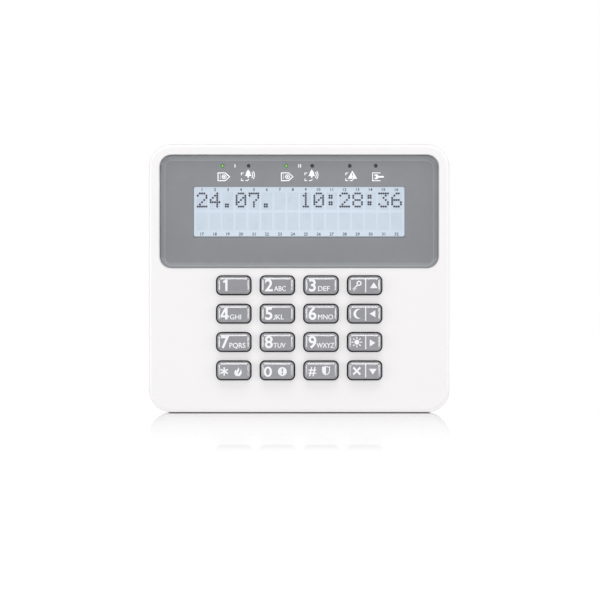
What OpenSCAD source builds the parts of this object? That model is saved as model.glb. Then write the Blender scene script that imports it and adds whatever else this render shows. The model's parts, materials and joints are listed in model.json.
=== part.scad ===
// Wall-mounted alarm keypad: two-shell housing, display window, sixteen keys and the board behind them.
// Drawn as seen from the front: x to the right, y up, z the depth from the wall, then stood up by panel().

/* [Housing] */
// Width of the closed housing
body_w = 139; // [137:1:160]
// Height of the closed housing
body_h = 124; // [123:1:150]
// Depth from the wall to the key tops
body_d = 22; // [21.5:0.5:28]
// Radius of the four corners seen from the front
corner_r = 10.5; // [8:0.5:13]
// Side wall of both shells
wall = 2.4; // [2.2:0.1:2.8]
// Wall of the front face
front_wall = 2.4; // [2:0.1:2.8]
// Rounding of the front edge
edge_r = 1.8; // [1:0.1:2.2]
// Rounding of the edge that meets the wall
rear_edge_r = 0.8; // [0.4:0.1:1.2]
// Depth of the rear cover
rear_d = 7; // [6:0.5:8]
// Floor of the rear cover
floor_t = 2; // [1.6:0.1:2.4]
// Shadow gap between the two shells
parting_gap = 0.2; // [0.1:0.05:0.3]

/* [Window] */
// Width of housing left beside and above the window pocket
window_margin = 4.7; // [4.2:0.1:6]
// Height of the window pocket
window_h = 53; // [50:0.5:54]
// Corner radius of the window pocket
window_r = 5.9; // [4.5:0.1:7]
// Groove between the lens and its pocket
window_gap = 0.4; // [0.2:0.05:0.6]
// Thickness of the lens
lens_t = 1.4; // [1:0.1:1.6]
// Thickness of the printed mask behind the lens
mask_t = 0.1; // [0.1:0.05:0.3]
// Width of the pillowed edge of the lens
pillow_w = 2.6; // [1.5:0.1:3.5]
// Fall of the pillowed edge
pillow_drop = 0.35; // [0.2:0.05:0.6]
// Web of the front cover behind the mask
web_t = 1.5; // [1.2:0.1:1.8]

/* [Display] */
// Width of the display left open by the mask
view_w = 97.4; // [90:0.1:100]
// Height of the display left open by the mask
view_h = 22.9; // [20:0.1:25]
// Border of the display glass that the mask hides
glass_border = 3.8; // [3:0.1:4.5]
// Thickness of the display glass
glass_t = 2.2; // [1.8:0.1:2.8]
// Wall of the frame that holds the glass
holder_wall = 1.4; // [1:0.1:1.8]
// Spacing of the contact pins
pin_pitch = 2.54; // [2:0.01:3]
// Number of contact pins
pin_count = 16; // [10:1:20]

/* [Status lights] */
// Diameter of each light spot
light_d = 1.8; // [1.4:0.1:2.2]
// Distance between the two lights of a pair
light_pair = 12; // [10:0.5:14]
// Distance from pair to pair
light_pitch = 29.4; // [27:0.1:30]
// Height of the lights over the middle of the window
light_rise = 21.2; // [20.5:0.1:21.6]

/* [Keys] */
// Width of a key opening
key_w = 16.5; // [15:0.1:17]
// Height of a key opening
key_h = 9.3; // [8.5:0.1:9.8]
// Corner radius of a key opening
key_r = 2.55; // [2.2:0.05:3]
// Gap between a key and its opening
key_gap = 0.55; // [0.35:0.05:0.7]
// Web between two key openings side by side
key_web_x = 3.65; // [3.2:0.05:4.5]
// Web between two key openings one above the other
key_web_y = 3.8; // [3.4:0.05:4]
// Web between the window pocket and the first row of keys
key_web_top = 2.9; // [2.5:0.05:3.5]
// Height of the key tops over the front face
key_proud = 1.8; // [1.2:0.1:2.2]
// Height of the raised middle of a key over its rim
key_step = 0.5; // [0.3:0.05:1]
// Width of the rim round the raised middle
key_rim = 0.7; // [0.5:0.05:1]
// How far a key can be pressed
key_travel = 1.1; // [0.8:0.1:1.3]
// Overhang of the flange that keeps a key in its opening
key_flange = 0.7; // [0.5:0.05:0.8]
// Thickness of that flange
key_flange_t = 0.8; // [0.6:0.1:1]
// Width of the stem under a key
stem_w = 7; // [6:0.5:7.5]
// Height of the stem under a key
stem_h = 4; // [3.5:0.1:4.4]
// Thickness of a contact pill
pill_t = 0.4; // [0.3:0.05:0.5]

/* [Board] */
// Height of the posts between the front wall and the board
post_h = 5.8; // [5.6:0.1:6.2]
// Outer diameter of the posts
post_d = 5.4; // [4.6:0.1:6]
// Thickness of the circuit board
board_t = 1.6; // [1.2:0.1:1.8]
// Gap between the board and the side walls
board_gap = 1.4; // [1:0.1:2]
// Thickness of the silicone key mat
mat_t = 1; // [0.8:0.1:1.2]
// Diameter of the board screws
screw_d = 2.2; // [2:0.1:2.6]
// Diameter of the sounder
sounder_d = 12; // [9:0.5:14]
// Number of wire terminals
terminal_count = 8; // [4:1:8]
// Spacing of the wire terminals
terminal_pitch = 3.81; // [3.5:0.01:4]
// Stroke of the tamper plunger
tamper_stroke = 1.5; // [1:0.1:1.8]
// Diameter of the tamper plunger
tamper_d = 3; // [2.4:0.1:3.4]

/* [Wall fixing] */
// Diameter of the wall screw holes
wall_hole_d = 4.2; // [3.5:0.1:5]
// Spacing of the wall screws across
wall_hole_x = 100; // [96:1:104]
// Spacing of the wall screws up the panel
wall_hole_y = 60; // [56:1:66]
// Spacing of the slots over a round wall box
box_slot_x = 60; // [58:0.5:62]
// Length of those slots
box_slot_l = 10; // [8:0.5:12]
// Width of the cable entry
cable_w = 30; // [24:1:34]
// Height of the cable entry
cable_h = 14; // [10:1:16]

/* [Hinge and latch] */
// Distance of the hooks and latches from the middle
hook_x = 35; // [30:1:42]
// Width of a hook
hook_w = 8; // [6:0.5:10]
// Running clearance between a hook and its pin
hook_fit = 0.06; // [0.03:0.01:0.1]
// Width of a latch tongue
latch_w = 8; // [6:0.5:10]
// Reach of the latch barb
barb = 0.7; // [0.5:0.1:0.9]

/* [Hidden] */
KEYS = ["1", "2", "3", "up", "4", "5", "6", "left", "7", "8", "9", "right", "star", "0", "hash", "down"];
$fn = 48;

// Clearances that several pieces share
slip = 0.1;
side_gap = 0.3;
overcut = 1;

// Depths, from the wall outwards
front_d = body_d - key_proud;
front_in = front_d - front_wall;
cover_back = rear_d + parting_gap;
lens_back = front_d - lens_t;
pocket_floor = lens_back - mask_t;
web_back = pocket_floor - web_t;
board_front = front_in - post_h;
board_back = board_front - board_t;

// Window and display places
pocket_w = body_w - 2 * window_margin;
window_y = body_h / 2 - window_margin - window_h / 2;
web_border = 1.2;
lens_w = pocket_w - 2 * window_gap;
lens_h = window_h - 2 * window_gap;
lens_r = window_r - window_gap;
glass_w = view_w + 2 * glass_border;
glass_h = view_h + 2 * glass_border;
glass_front = web_back - slip;
glass_back = glass_front - glass_t;
light_y = window_y + light_rise;
light_xs = [for (pair = [-1:1], side = [-0.5, 0.5]) pair * light_pitch + side * light_pair];
pipe_d = light_d + 0.2;
pipe_bore = pipe_d + 2 * slip;
shade_wide_bore = 3;
shade_step = 1.6;
status_light_size = [2, 1.25, 0.8];

// Key places and the depths inside a key
rows = 4;
columns = 4;
key_pitch_x = key_w + key_web_x;
key_pitch_y = key_h + key_web_y;
keys_y = window_y - window_h / 2 - key_web_top - key_h / 2 - (rows - 1) / 2 * key_pitch_y;
key_spots = [for (row = [0:rows - 1], column = [0:columns - 1])
    [(column - (columns - 1) / 2) * key_pitch_x, keys_y - (row - (rows - 1) / 2) * key_pitch_y]];
cap_w = key_w - 2 * key_gap;
cap_h = key_h - 2 * key_gap;
cap_r = key_r - key_gap;
cap_rim_top = body_d - key_step;
cap_edge_r = 0.35;
cap_bevel = 0.65;
flange_w = key_w + 2 * key_flange;
flange_h = key_h + 2 * key_flange;
flange_r = key_r + key_flange;
flange_top = front_in - slip;
flange_back = flange_top - key_flange_t;
pill_back = board_front + key_travel + slip;
pill_front = pill_back + pill_t;
pill_inset = 0.5;
stem_r = 1.2;
mat_front = board_front + mat_t;
mat_border = 5;
mat_w = columns * key_pitch_x + 2 * mat_border;
mat_h = (rows - 1) * key_pitch_y + key_h;
mat_r = 2;
collar_wall = 0.8;
collar_rise = 1.4;
collar_w = stem_w + 2 * (side_gap + collar_wall);
collar_h = stem_h + 2 * (side_gap + collar_wall);
rib_t = 1;
key_light_size = [1.6, 0.8, 0.6];
key_light_hole = [key_light_size[0] + 2 * side_gap, key_light_size[1] + 2 * side_gap + 2 * slip];
key_light_x = collar_w / 2 + 0.7 + key_light_hole[0] / 2;
peg_d = 1.8;
peg_x = columns / 2 * key_pitch_x + rib_t / 2 + 2;

// Board outline and its posts
board_top = body_h / 2 - 7;
board_bottom = -(body_h / 2 - 6);
board_w = body_w - 2 * (wall + board_gap);
board_y = (board_top + board_bottom) / 2;
board_h = board_top - board_bottom;
board_r = corner_r - wall - board_gap;
post_x = board_w / 2 - 4.7;
post_ys = [board_top - 5, window_y - window_h / 2 - 2, board_bottom + 4.5];
post_spots = [for (x = [-post_x, post_x], y = post_ys) [x, y]];
post_bore = screw_d + 0.1;
post_bore_depth = 4.8;
screw_head_d = 4.6;
screw_head_t = 1.6;
screw_reach = 4.2;

// Hinge: round pins in the top wall of the front cover, held by the hooks of the rear cover
hinge_inset = wall / 2;
hinge_y = body_h / 2 - hinge_inset;
hinge_d = cover_back + wall / 2;
hinge_pin_r = wall / 2 - 0.2;
hook_inner_r = hinge_pin_r + hook_fit;
hook_outer_r = hook_inner_r + 1.14;
hook_lead = 0.3;
notch_skin = 0.6;
notch_front = hinge_d + hook_outer_r + 2;
groove_r = norm([wall / 2, wall / 2]) + 0.25;

// Latch tongues at the bottom, drawn pressed clear of the front cover
latch_gap = 0.25;
tongue_t = 1.3;
tongue_y = -(body_h / 2 - wall - latch_gap - barb);
tongue_tip = cover_back + 4.3;
barb_back = cover_back + 2.7;
catch_back = barb_back - 0.5;
catch_front = tongue_tip + 0.1;

// Rear cover details
tab_t = 1;
tab_w = 14;
tab_rise = 1.8;
boss_d = 9;
boss_rise = 1.5;
rib_rise = 1.2;
cable_y = 12;
pedestal_d = 7;
pedestal_rise = 1;
knockout = [12, 4];
knockout_skin = 0.8;

// Parts on the rear face of the board, set out from its lower edge and held clear of the rear cover
rear_room = board_back - floor_t;
terminal_y = board_bottom + 46;
terminal_floor_gap = 1.8;
terminal_size = [terminal_count * terminal_pitch, 8.2, rear_room - terminal_floor_gap];
terminal_well_d = 3;
terminal_roof = 1;
terminal_head_room = (terminal_size[2] - terminal_roof) / 2;
terminal_back = board_back - terminal_size[2];
terminal_way = [2.6, terminal_head_room];
terminal_way_back = terminal_back + terminal_head_room;
terminal_sunk = 0.6;
terminal_head_t = terminal_head_room / 2;
terminal_slot = 0.4;
terminal_shank_d = 1.5;
terminal_shank = terminal_head_room - terminal_head_t;
clamp_t = 0.4;
clamp_depth = 2.4;
terminal_xs = [for (i = [0:terminal_count - 1]) (i - (terminal_count - 1) / 2) * terminal_pitch];
sounder_spot = [-38, board_bottom + 20];
sounder_t = rear_room - 3;
sounder_port = [2, 1.2];
tamper_spot = [board_w / 2 - 21.7, board_bottom + 60];
tamper_cap = 2.3;
tamper_back_clear = 0.4;
tamper_body = [7, 7, tamper_stroke + tamper_cap + 0.8];
tamper_back = board_back - tamper_body[2];
tamper_bore_depth = tamper_stroke + tamper_cap;
tamper_tip = floor_t + pedestal_rise + slip;
controller_spot = [-2, board_bottom + 18];
controller_size = [12, 12, 1.4];
lead_pitch = 0.8;
lead_count = 12;
lead_size = [0.35, 1.1, 0.2];
small_chip_size = [5, 4, 1.5];
small_chip_spots = [[20, board_bottom + 20], [20, board_bottom + 10]];
crystal_size = [11, 4.6, 3.4];
crystal_spot = [-18, board_bottom + 10];
capacitor_d = 6.3;
capacitor_t = rear_room - 2.8;
capacitor_base = [6.6, 6.6, 0.8];
capacitor_spots = [for (i = [0:2]) [-30, board_bottom + 32 + 10 * i]];
regulator_size = [6.5, 3.5, 1.7];
regulator_tab = [3, 2.8, 0.3];
regulator_spot = [30, board_bottom + 42];
header_size = [10.2, 5, 2.5];
header_spot = [-24, board_top - 19];

// ---- Shared shapes ----

// Stands a panel-fixed shape up, with the depth towards the viewer
module panel() {
    rotate([90, 0, 0]) children();
}

module round_rect(w, h, r) {
    square([w, h - 2 * r], center = true);
    square([w - 2 * r, h], center = true);
    for (x = [-1, 1], y = [-1, 1])
        translate([x * (w / 2 - r), y * (h / 2 - r)]) circle(r = r);
}

module round_slab(w, h, r, back, front) {
    translate([0, 0, back]) linear_extrude(front - back) round_rect(w, h, r);
}

// Box with its middle at a spot of the panel and its rear at a depth
module box_at(spot, size, back) {
    translate([spot[0] - size[0] / 2, spot[1] - size[1] / 2, back]) cube(size);
}

// A slab whose edge follows a profile all round: the child lies at 0..r from the edge, back..front in depth
module edged_slab(w, h, r, back, front) {
    for (x = [0, 1], y = [0, 1])
        mirror([x, 0, 0]) mirror([0, y, 0]) translate([w / 2 - r, h / 2 - r, 0])
            rotate_extrude(angle = 90) intersection() {
                translate([0, back]) square([r, front - back]);
                translate([r, 0]) mirror([1, 0]) children();
            }
    for (x = [0, 1])
        mirror([x, 0, 0]) translate([w / 2, h / 2 - r, 0])
            rotate([90, 0, 0]) linear_extrude(h - 2 * r) mirror([1, 0]) children();
    for (y = [0, 1])
        mirror([0, y, 0]) translate([r - w / 2, h / 2, 0])
            rotate([90, 0, 90]) linear_extrude(w - 2 * r) mirror([1, 0]) children();
    translate([r - w / 2, r - h / 2, back]) cube([w - 2 * r, h - 2 * r, front - back]);
}

// Edge profile with a rounded front edge
module rounded_edge(r, back, front, fillet) {
    translate([0, back]) square([r, front - back - fillet]);
    translate([fillet, back]) square([r - fillet, front - back]);
    translate([fillet, front - fillet]) circle(r = fillet);
}

// Rod along the width of the panel, from x = left to x = right
module cross_rod(left, right, y, depth, r) {
    translate([left, y, depth]) rotate([0, 90, 0]) cylinder(h = right - left, r = r);
}

// ---- Housing ----

module rear_cover() color("white") panel() {
    difference() {
        union() {
            rear_shell();
            for (x = [-1, 1], y = [-1, 1])
                translate([x * wall_hole_x / 2, y * wall_hole_y / 2, floor_t / 2])
                    cylinder(h = floor_t / 2 + boss_rise, d = boss_d);
            floor_ribs();
            translate([tamper_spot[0], tamper_spot[1], floor_t / 2])
                cylinder(h = floor_t / 2 + pedestal_rise, d = pedestal_d);
        }
        for (x = [-1, 1], y = [-1, 1])
            translate([x * wall_hole_x / 2, y * wall_hole_y / 2, -overcut])
                cylinder(h = floor_t + boss_rise + 2 * overcut, d = wall_hole_d);
        for (x = [-1, 1])
            translate([x * box_slot_x / 2, 0, -overcut])
                linear_extrude(floor_t + rib_rise + 2 * overcut) box_slot();
        round_slab_at([0, cable_y], cable_w, cable_h, 2, -overcut, floor_t + rib_rise + overcut);
        box_at([0, -(body_h / 2 - wall / 2 - knockout_skin)], [knockout[0], wall, knockout[1]], floor_t);
    }
    for (x = [-hook_x, hook_x]) {
        hinge_hook(x);
        latch_tongue(x);
    }
    for (side = [-1, 1], y = [-28, 28])
        translate([side * body_w / 2, y, 0]) rotate([0, 0, side * 90 + 90]) locating_tab();
    for (x = [-16, 16])
        translate([x, -body_h / 2, 0]) rotate([0, 0, 90]) locating_tab();
}

module round_slab_at(spot, w, h, r, back, front) {
    translate([spot[0], spot[1], 0]) round_slab(w, h, r, back, front);
}

module rear_shell() {
    difference() {
        translate([0, 0, rear_d]) mirror([0, 0, 1])
            edged_slab(body_w, body_h, corner_r, 0, rear_d)
                rounded_edge(corner_r, 0, rear_d, rear_edge_r);
        round_slab(body_w - 2 * wall, body_h - 2 * wall, corner_r - wall, floor_t, rear_d + overcut);
        cross_rod(-body_w / 2 + corner_r / 2, body_w / 2 - corner_r / 2, hinge_y, hinge_d, groove_r);
    }
}

// Stiffening ribs on the floor, clear of the cable entry, the slots and the screw bosses
module floor_ribs() {
    rib_top = floor_t + rib_rise;
    half_w = body_w / 2 - wall / 2;
    for (y = [-wall_hole_y / 2 - 12, wall_hole_y / 2 + 12])
        translate([-half_w, y - rib_t / 2, floor_t / 2]) cube([2 * half_w, rib_t, rib_top - floor_t / 2]);
    for (x = [-1, 1])
        translate([x * (wall_hole_x / 2 - 8) - rib_t / 2, -body_h / 2 + 10, floor_t / 2])
            cube([rib_t, body_h - 20, rib_top - floor_t / 2]);
}

module box_slot() {
    square([box_slot_l - wall_hole_d, wall_hole_d], center = true);
    for (x = [-1, 1])
        translate([x * (box_slot_l - wall_hole_d) / 2, 0]) circle(d = wall_hole_d);
}

// Hook that reaches round a hinge pin of the front cover
module hinge_hook(x) {
    translate([x - hook_w / 2, 0, 0]) rotate([90, 0, 90]) linear_extrude(hook_w) {
        difference() {
            translate([hinge_y, hinge_d]) circle(r = hook_outer_r);
            translate([hinge_y, hinge_d]) circle(r = hook_inner_r);
            translate([hinge_y - 2 * hook_outer_r, hinge_d - 2 * hook_outer_r])
                square([4 * hook_outer_r, 2 * hook_outer_r]);
            translate([hinge_y + hook_lead, hinge_d - overcut]) square([hook_outer_r, 2 * hook_outer_r]);
        }
        translate([hinge_y - hook_outer_r, floor_t / 2])
            square([hook_outer_r - hook_inner_r, hinge_d - floor_t / 2]);
    }
}

// Spring tongue with a barb that catches in the bottom wall of the front cover
module latch_tongue(x) {
    translate([x - latch_w / 2, 0, 0]) rotate([90, 0, 90]) linear_extrude(latch_w)
        polygon([
            [tongue_y, floor_t / 2],
            [tongue_y, barb_back],
            [tongue_y - barb, barb_back + 0.2],
            [tongue_y - barb, barb_back + 0.5],
            [tongue_y, tongue_tip],
            [tongue_y + tongue_t, tongue_tip],
            [tongue_y + tongue_t, floor_t / 2]
        ]);
}

// Tab that keeps the front cover in line, drawn for the side at +x with its outer face at x = 0
module locating_tab() {
    tab_in = wall + side_gap;
    translate([0, -tab_w / 2, 0]) {
        translate([wall / 2, 0, floor_t / 2]) cube([tab_in + tab_t - wall / 2, tab_w, rear_d - floor_t / 2]);
        translate([tab_in, 0, floor_t / 2]) cube([tab_t, tab_w, rear_d + tab_rise - floor_t / 2]);
    }
}

module front_cover() color("white") panel() {
    difference() {
        union() {
            front_shell();
            round_slab_at([0, window_y], pocket_w + 2 * web_border, window_h + 2 * web_border,
                window_r + web_border, web_back, front_in + slip);
            key_ribs();
            for (spot = post_spots)
                translate([spot[0], spot[1], board_front]) cylinder(h = post_h + slip, d = post_d);
            for (x = [-peg_x, peg_x])
                translate([x, keys_y, board_back - 0.4])
                    cylinder(h = front_in + slip - board_back + 0.4, d = peg_d);
        }
        round_slab_at([0, window_y], pocket_w, window_h, window_r, pocket_floor, front_d + overcut);
        round_slab_at([0, window_y], view_w + 2, view_h + 2, 1, web_back - overcut, pocket_floor + slip);
        for (x = light_xs)
            translate([x, light_y, web_back - overcut])
                cylinder(h = web_t + overcut + slip, d = pipe_bore);
        for (spot = key_spots)
            round_slab_at(spot, key_w, key_h, key_r, front_in - overcut, front_d + overcut);
        for (spot = post_spots)
            translate([spot[0], spot[1], board_front - overcut])
                cylinder(h = post_bore_depth + overcut, d = post_bore);
        for (x = [-hook_x, hook_x]) {
            hinge_notch(x);
            latch_window(x);
        }
    }
    for (x = [-hook_x, hook_x])
        cross_rod(x - hook_w / 2 - 0.7, x + hook_w / 2 + 0.7, hinge_y, hinge_d, hinge_pin_r);
}

module front_shell() {
    difference() {
        edged_slab(body_w, body_h, corner_r, cover_back, front_d)
            rounded_edge(corner_r, cover_back, front_d, edge_r);
        round_slab(body_w - 2 * wall, body_h - 2 * wall, corner_r - wall, cover_back - overcut, front_in);
    }
}

// Lattice behind the front face that guides each key and holds the mat down
module key_ribs() {
    field_w = columns * key_pitch_x + rib_t;
    field_h = rows * key_pitch_y + rib_t;
    back = mat_front + slip;
    for (i = [0:columns])
        translate([(i - columns / 2) * key_pitch_x - rib_t / 2, keys_y - field_h / 2, back])
            cube([rib_t, field_h, front_in + slip - back]);
    for (j = [0:rows])
        translate([-field_w / 2, keys_y + (j - rows / 2) * key_pitch_y - rib_t / 2, back])
            cube([field_w, rib_t, front_in + slip - back]);
}

// Notch in the top wall that leaves a thin outer skin over the hook
module hinge_notch(x) {
    notch_w = hook_w + 1;
    translate([x - notch_w / 2, body_h / 2 - wall - overcut, cover_back - overcut])
        cube([notch_w, wall + overcut - notch_skin, notch_front - cover_back + overcut]);
}

// Catch window for a latch barb, open to the outside for the screwdriver that releases it
module latch_window(x) {
    window_w = latch_w + 1;
    translate([x - window_w / 2, -body_h / 2 - overcut, catch_back])
        cube([window_w, wall + 2 * overcut, catch_front - catch_back]);
}

// ---- Window and display ----

module window_lens() color("gray", 0.5) panel() {
    translate([0, window_y, 0])
        edged_slab(lens_w, lens_h, lens_r, lens_back, front_d)
            pillow_edge(lens_r, lens_back, front_d);
}

// Edge profile that falls away towards the rim in a long shallow arc
module pillow_edge(r, back, front) {
    arc_r = (pillow_w * pillow_w + pillow_drop * pillow_drop) / (2 * pillow_drop);
    translate([pillow_w, back]) square([r - pillow_w, front - back]);
    intersection() {
        translate([0, back]) square([pillow_w, front - back]);
        translate([pillow_w, front - arc_r]) circle(r = arc_r, $fn = 180);
    }
}

module window_mask() color("dimgray") panel() {
    difference() {
        round_slab_at([0, window_y], lens_w, lens_h, lens_r, pocket_floor, lens_back);
        round_slab_at([0, window_y], view_w, view_h, 0.5, pocket_floor - overcut, lens_back + overcut);
        for (x = light_xs)
            translate([x, light_y, pocket_floor - overcut]) cylinder(h = mask_t + 2 * overcut, d = light_d);
    }
}

module display_glass() color("lightsteelblue") panel() {
    box_at([0, window_y], [glass_w, glass_h, glass_t], glass_back);
}

module display_light_guide() color("aliceblue") panel() {
    guide_inset = 1;
    box_at([0, window_y], [glass_w - 2 * guide_inset, glass_h - 2 * guide_inset, glass_back - board_front],
        board_front);
}

module display_holder() color("black") panel() {
    inner = [glass_w + 2 * slip, glass_h + 2 * slip];
    depth = glass_front - board_front - 0.4;
    difference() {
        box_at([0, window_y], [inner[0] + 2 * holder_wall, inner[1] + 2 * holder_wall, depth], board_front);
        box_at([0, window_y], [inner[0], inner[1], depth + 2 * overcut], board_front - overcut);
        box_at([0, window_y - inner[1] / 2 - 0.4], [pin_count * pin_pitch, 1, depth + 2 * overcut],
            board_front - overcut);
    }
}

module display_pins() color("silver") panel() {
    pin = [0.5, 0.25, glass_front - 0.6 - board_front];
    for (i = [0:pin_count - 1])
        box_at([(i - (pin_count - 1) / 2) * pin_pitch, window_y - glass_h / 2 - 0.35], pin, board_front);
}

module status_lights() color("palegreen") panel() {
    for (x = light_xs)
        box_at([x, light_y], status_light_size, board_front);
}

module light_shade() color("black") panel() {
    shade = [2 * light_pitch + light_pair + 8, 4.6, web_back - slip - board_front];
    difference() {
        box_at([0, light_y], shade, board_front);
        for (x = light_xs) {
            translate([x, light_y, board_front - overcut])
                cylinder(h = shade[2] + 2 * overcut, d = pipe_bore);
            translate([x, light_y, board_front - overcut])
                cylinder(h = shade_step + overcut, d = shade_wide_bore);
        }
    }
}

module light_pipes() color("honeydew") panel() {
    pipe_back = board_front + status_light_size[2] + slip;
    for (x = light_xs)
        translate([x, light_y, pipe_back]) cylinder(h = pocket_floor - pipe_back, d = pipe_d);
}

// ---- Keys ----

// Cap with a rounded rim and a raised middle, its flange behind the opening and its stem
module key_cap(spot) color("gray") panel() translate([spot[0], spot[1], 0]) {
    edged_slab(cap_w, cap_h, cap_r, flange_top - slip, body_d) key_edge();
    round_slab(flange_w, flange_h, flange_r, flange_back, flange_top);
    round_slab(stem_w, stem_h, stem_r, pill_front, flange_back + slip);
}

module key_edge() {
    rounded_edge(cap_r, flange_top - slip, cap_rim_top, cap_edge_r);
    polygon([
        [key_rim, cap_rim_top - slip],
        [key_rim, cap_rim_top],
        [key_rim + cap_bevel, body_d],
        [cap_r, body_d],
        [cap_r, cap_rim_top - slip]
    ]);
}

module key_pill(spot) color("black") panel() {
    round_slab_at(spot, stem_w - pill_inset, stem_h - pill_inset, stem_r - pill_inset / 2,
        pill_back, pill_front);
}

// Silicone sheet with a collar round each key stem
module keypad_mat() color("whitesmoke") panel() {
    hole_w = stem_w + 2 * side_gap;
    hole_h = stem_h + 2 * side_gap;
    hole_r = stem_r + side_gap;
    difference() {
        union() {
            round_slab_at([0, keys_y], mat_w, mat_h, mat_r, board_front, mat_front);
            for (spot = key_spots)
                round_slab_at(spot, collar_w, collar_h, hole_r + collar_wall, board_front, mat_front + collar_rise);
        }
        for (spot = key_spots) {
            round_slab_at(spot, hole_w, hole_h, hole_r, board_front - overcut,
                mat_front + collar_rise + overcut);
            box_at([spot[0] + key_light_x, spot[1]],
                [key_light_hole[0], key_light_hole[1], mat_t + 2 * overcut], board_front - overcut);
        }
        for (x = [-peg_x, peg_x])
            translate([x, keys_y, board_front - overcut]) cylinder(h = mat_t + 2 * overcut, d = peg_d + 2 * slip);
    }
}

module key_lights() color("ivory") panel() {
    for (spot = key_spots)
        box_at([spot[0] + key_light_x, spot[1]], key_light_size, board_front);
}

// ---- Board and the parts on it ----

module main_board() color("seagreen") panel() {
    difference() {
        round_slab_at([0, board_y], board_w, board_h, board_r, board_back, board_front);
        for (spot = post_spots)
            translate([spot[0], spot[1], board_back - overcut])
                cylinder(h = board_t + 2 * overcut, d = screw_d + 0.5);
        for (x = [-peg_x, peg_x])
            translate([x, keys_y, board_back - overcut])
                cylinder(h = board_t + 2 * overcut, d = peg_d + 2 * slip);
    }
}

module board_screws() color("silver") panel() {
    for (spot = post_spots)
        translate([spot[0], spot[1], 0]) {
            translate([0, 0, board_back - screw_head_t]) cylinder(h = screw_head_t, d = screw_head_d);
            translate([0, 0, board_back - slip]) cylinder(h = board_t + screw_reach + slip, d = screw_d);
        }
}

module terminal_block() color("limegreen") panel() {
    difference() {
        box_at([0, terminal_y], terminal_size, terminal_back);
        for (x = terminal_xs) {
            translate([x, terminal_y, terminal_back - overcut])
                cylinder(h = terminal_way_back - terminal_back + overcut + slip, d = terminal_well_d);
            translate([x - terminal_way[0] / 2, terminal_y - terminal_size[1] / 2 - overcut, terminal_way_back])
                cube([terminal_way[0], terminal_size[1] / 2 + overcut + 1.5, terminal_way[1]]);
        }
    }
}

module terminal_screws() color("silver") panel() {
    for (x = terminal_xs)
        translate([x, terminal_y, terminal_back + terminal_sunk]) difference() {
            union() {
                cylinder(h = terminal_head_t, d = terminal_well_d - 2 * slip);
                cylinder(h = terminal_head_t + terminal_shank, d = terminal_shank_d);
            }
            translate([-terminal_well_d / 2, -terminal_slot / 2, -overcut])
                cube([terminal_well_d, terminal_slot, overcut + terminal_slot]);
        }
}

// Each clamp is a plate with two cheeks, open towards the wire way
module terminal_clamps() color("gold") panel() {
    clamp_w = terminal_way[0] - 2 * slip;
    for (x = terminal_xs) {
        box_at([x, terminal_y], [clamp_w, clamp_depth, clamp_t], terminal_way_back + terminal_way[1] - clamp_t);
        for (side = [-1, 1])
            box_at([x + side * (clamp_w - clamp_t) / 2, terminal_y], [clamp_t, clamp_depth, terminal_way[1] - slip],
                terminal_way_back + slip);
    }
}

module sounder() color("black") panel() {
    translate([sounder_spot[0], sounder_spot[1], board_back - sounder_t]) difference() {
        cylinder(h = sounder_t, d = sounder_d);
        translate([0, 0, -overcut]) cylinder(h = overcut + sounder_port[1], d = sounder_port[0]);
    }
}

module tamper_switch() color("black") panel() {
    difference() {
        box_at(tamper_spot, tamper_body, tamper_back);
        translate([tamper_spot[0], tamper_spot[1], tamper_back - overcut])
            cylinder(h = tamper_bore_depth + overcut, d = tamper_d + slip);
    }
}

module tamper_plunger() color("ivory") panel() {
    translate([tamper_spot[0], tamper_spot[1], tamper_tip])
        cylinder(h = tamper_back + tamper_bore_depth - tamper_back_clear - tamper_tip, d = tamper_d);
}

module controller() color("black") panel() {
    box_at(controller_spot, controller_size, board_back - controller_size[2] - slip);
}

module controller_leads() color("silver") panel() {
    for (turn = [0:3])
        translate([controller_spot[0], controller_spot[1], board_back - lead_size[2]])
            rotate([0, 0, turn * 90])
                for (i = [0:lead_count - 1])
                    translate([(i - (lead_count - 1) / 2) * lead_pitch - lead_size[0] / 2,
                        controller_size[1] / 2 + slip, 0]) cube(lead_size);
}

module small_chips() color("black") panel() {
    for (spot = small_chip_spots)
        box_at(spot, small_chip_size, board_back - small_chip_size[2]);
}

module crystal() color("silver") panel() {
    round_slab_at(crystal_spot, crystal_size[0], crystal_size[1], crystal_size[1] / 2 - slip,
        board_back - crystal_size[2], board_back);
}

module capacitors() color("silver") panel() {
    for (spot = capacitor_spots) {
        translate([spot[0], spot[1], board_back - capacitor_t]) cylinder(h = capacitor_t, d = capacitor_d);
        box_at(spot, capacitor_base, board_back - capacitor_base[2]);
    }
}

module regulator() color("black") panel() {
    box_at(regulator_spot, regulator_size, board_back - regulator_size[2]);
    box_at([regulator_spot[0], regulator_spot[1] + (regulator_size[1] + regulator_tab[1]) / 2],
        regulator_tab, board_back - regulator_tab[2]);
}

module service_header() color("black") panel() {
    box_at(header_spot, header_size, board_back - header_size[2]);
}

rear_cover();
front_cover();
window_lens();
window_mask();
display_glass();
display_holder();
display_light_guide();
display_pins();
status_lights();
light_shade();
light_pipes();
main_board();
board_screws();
keypad_mat();
key_lights();
terminal_block();
terminal_screws();
terminal_clamps();
sounder();
tamper_switch();
tamper_plunger();
controller();
controller_leads();
small_chips();
crystal();
capacitors();
regulator();
service_header();
for (i = [0:len(KEYS) - 1]) {
    key_cap(key_spots[i]);
    key_pill(key_spots[i]);
}
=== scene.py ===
"""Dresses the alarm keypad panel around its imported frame: finishes, prints, display and studio.

Lengths in the classes are millimetres in the panel's own view: x to the right, y up, and the
depth d counted forwards from the wall. They become metres in the row frame as (x, -d, y).
"""

import json
import logging
import math
from abc import ABC, abstractmethod
from dataclasses import dataclass
from enum import Enum
from typing import Optional, Sequence, Union

import bmesh
import bpy
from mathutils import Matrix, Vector
from mathutils.geometry import tessellate_polygon


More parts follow.
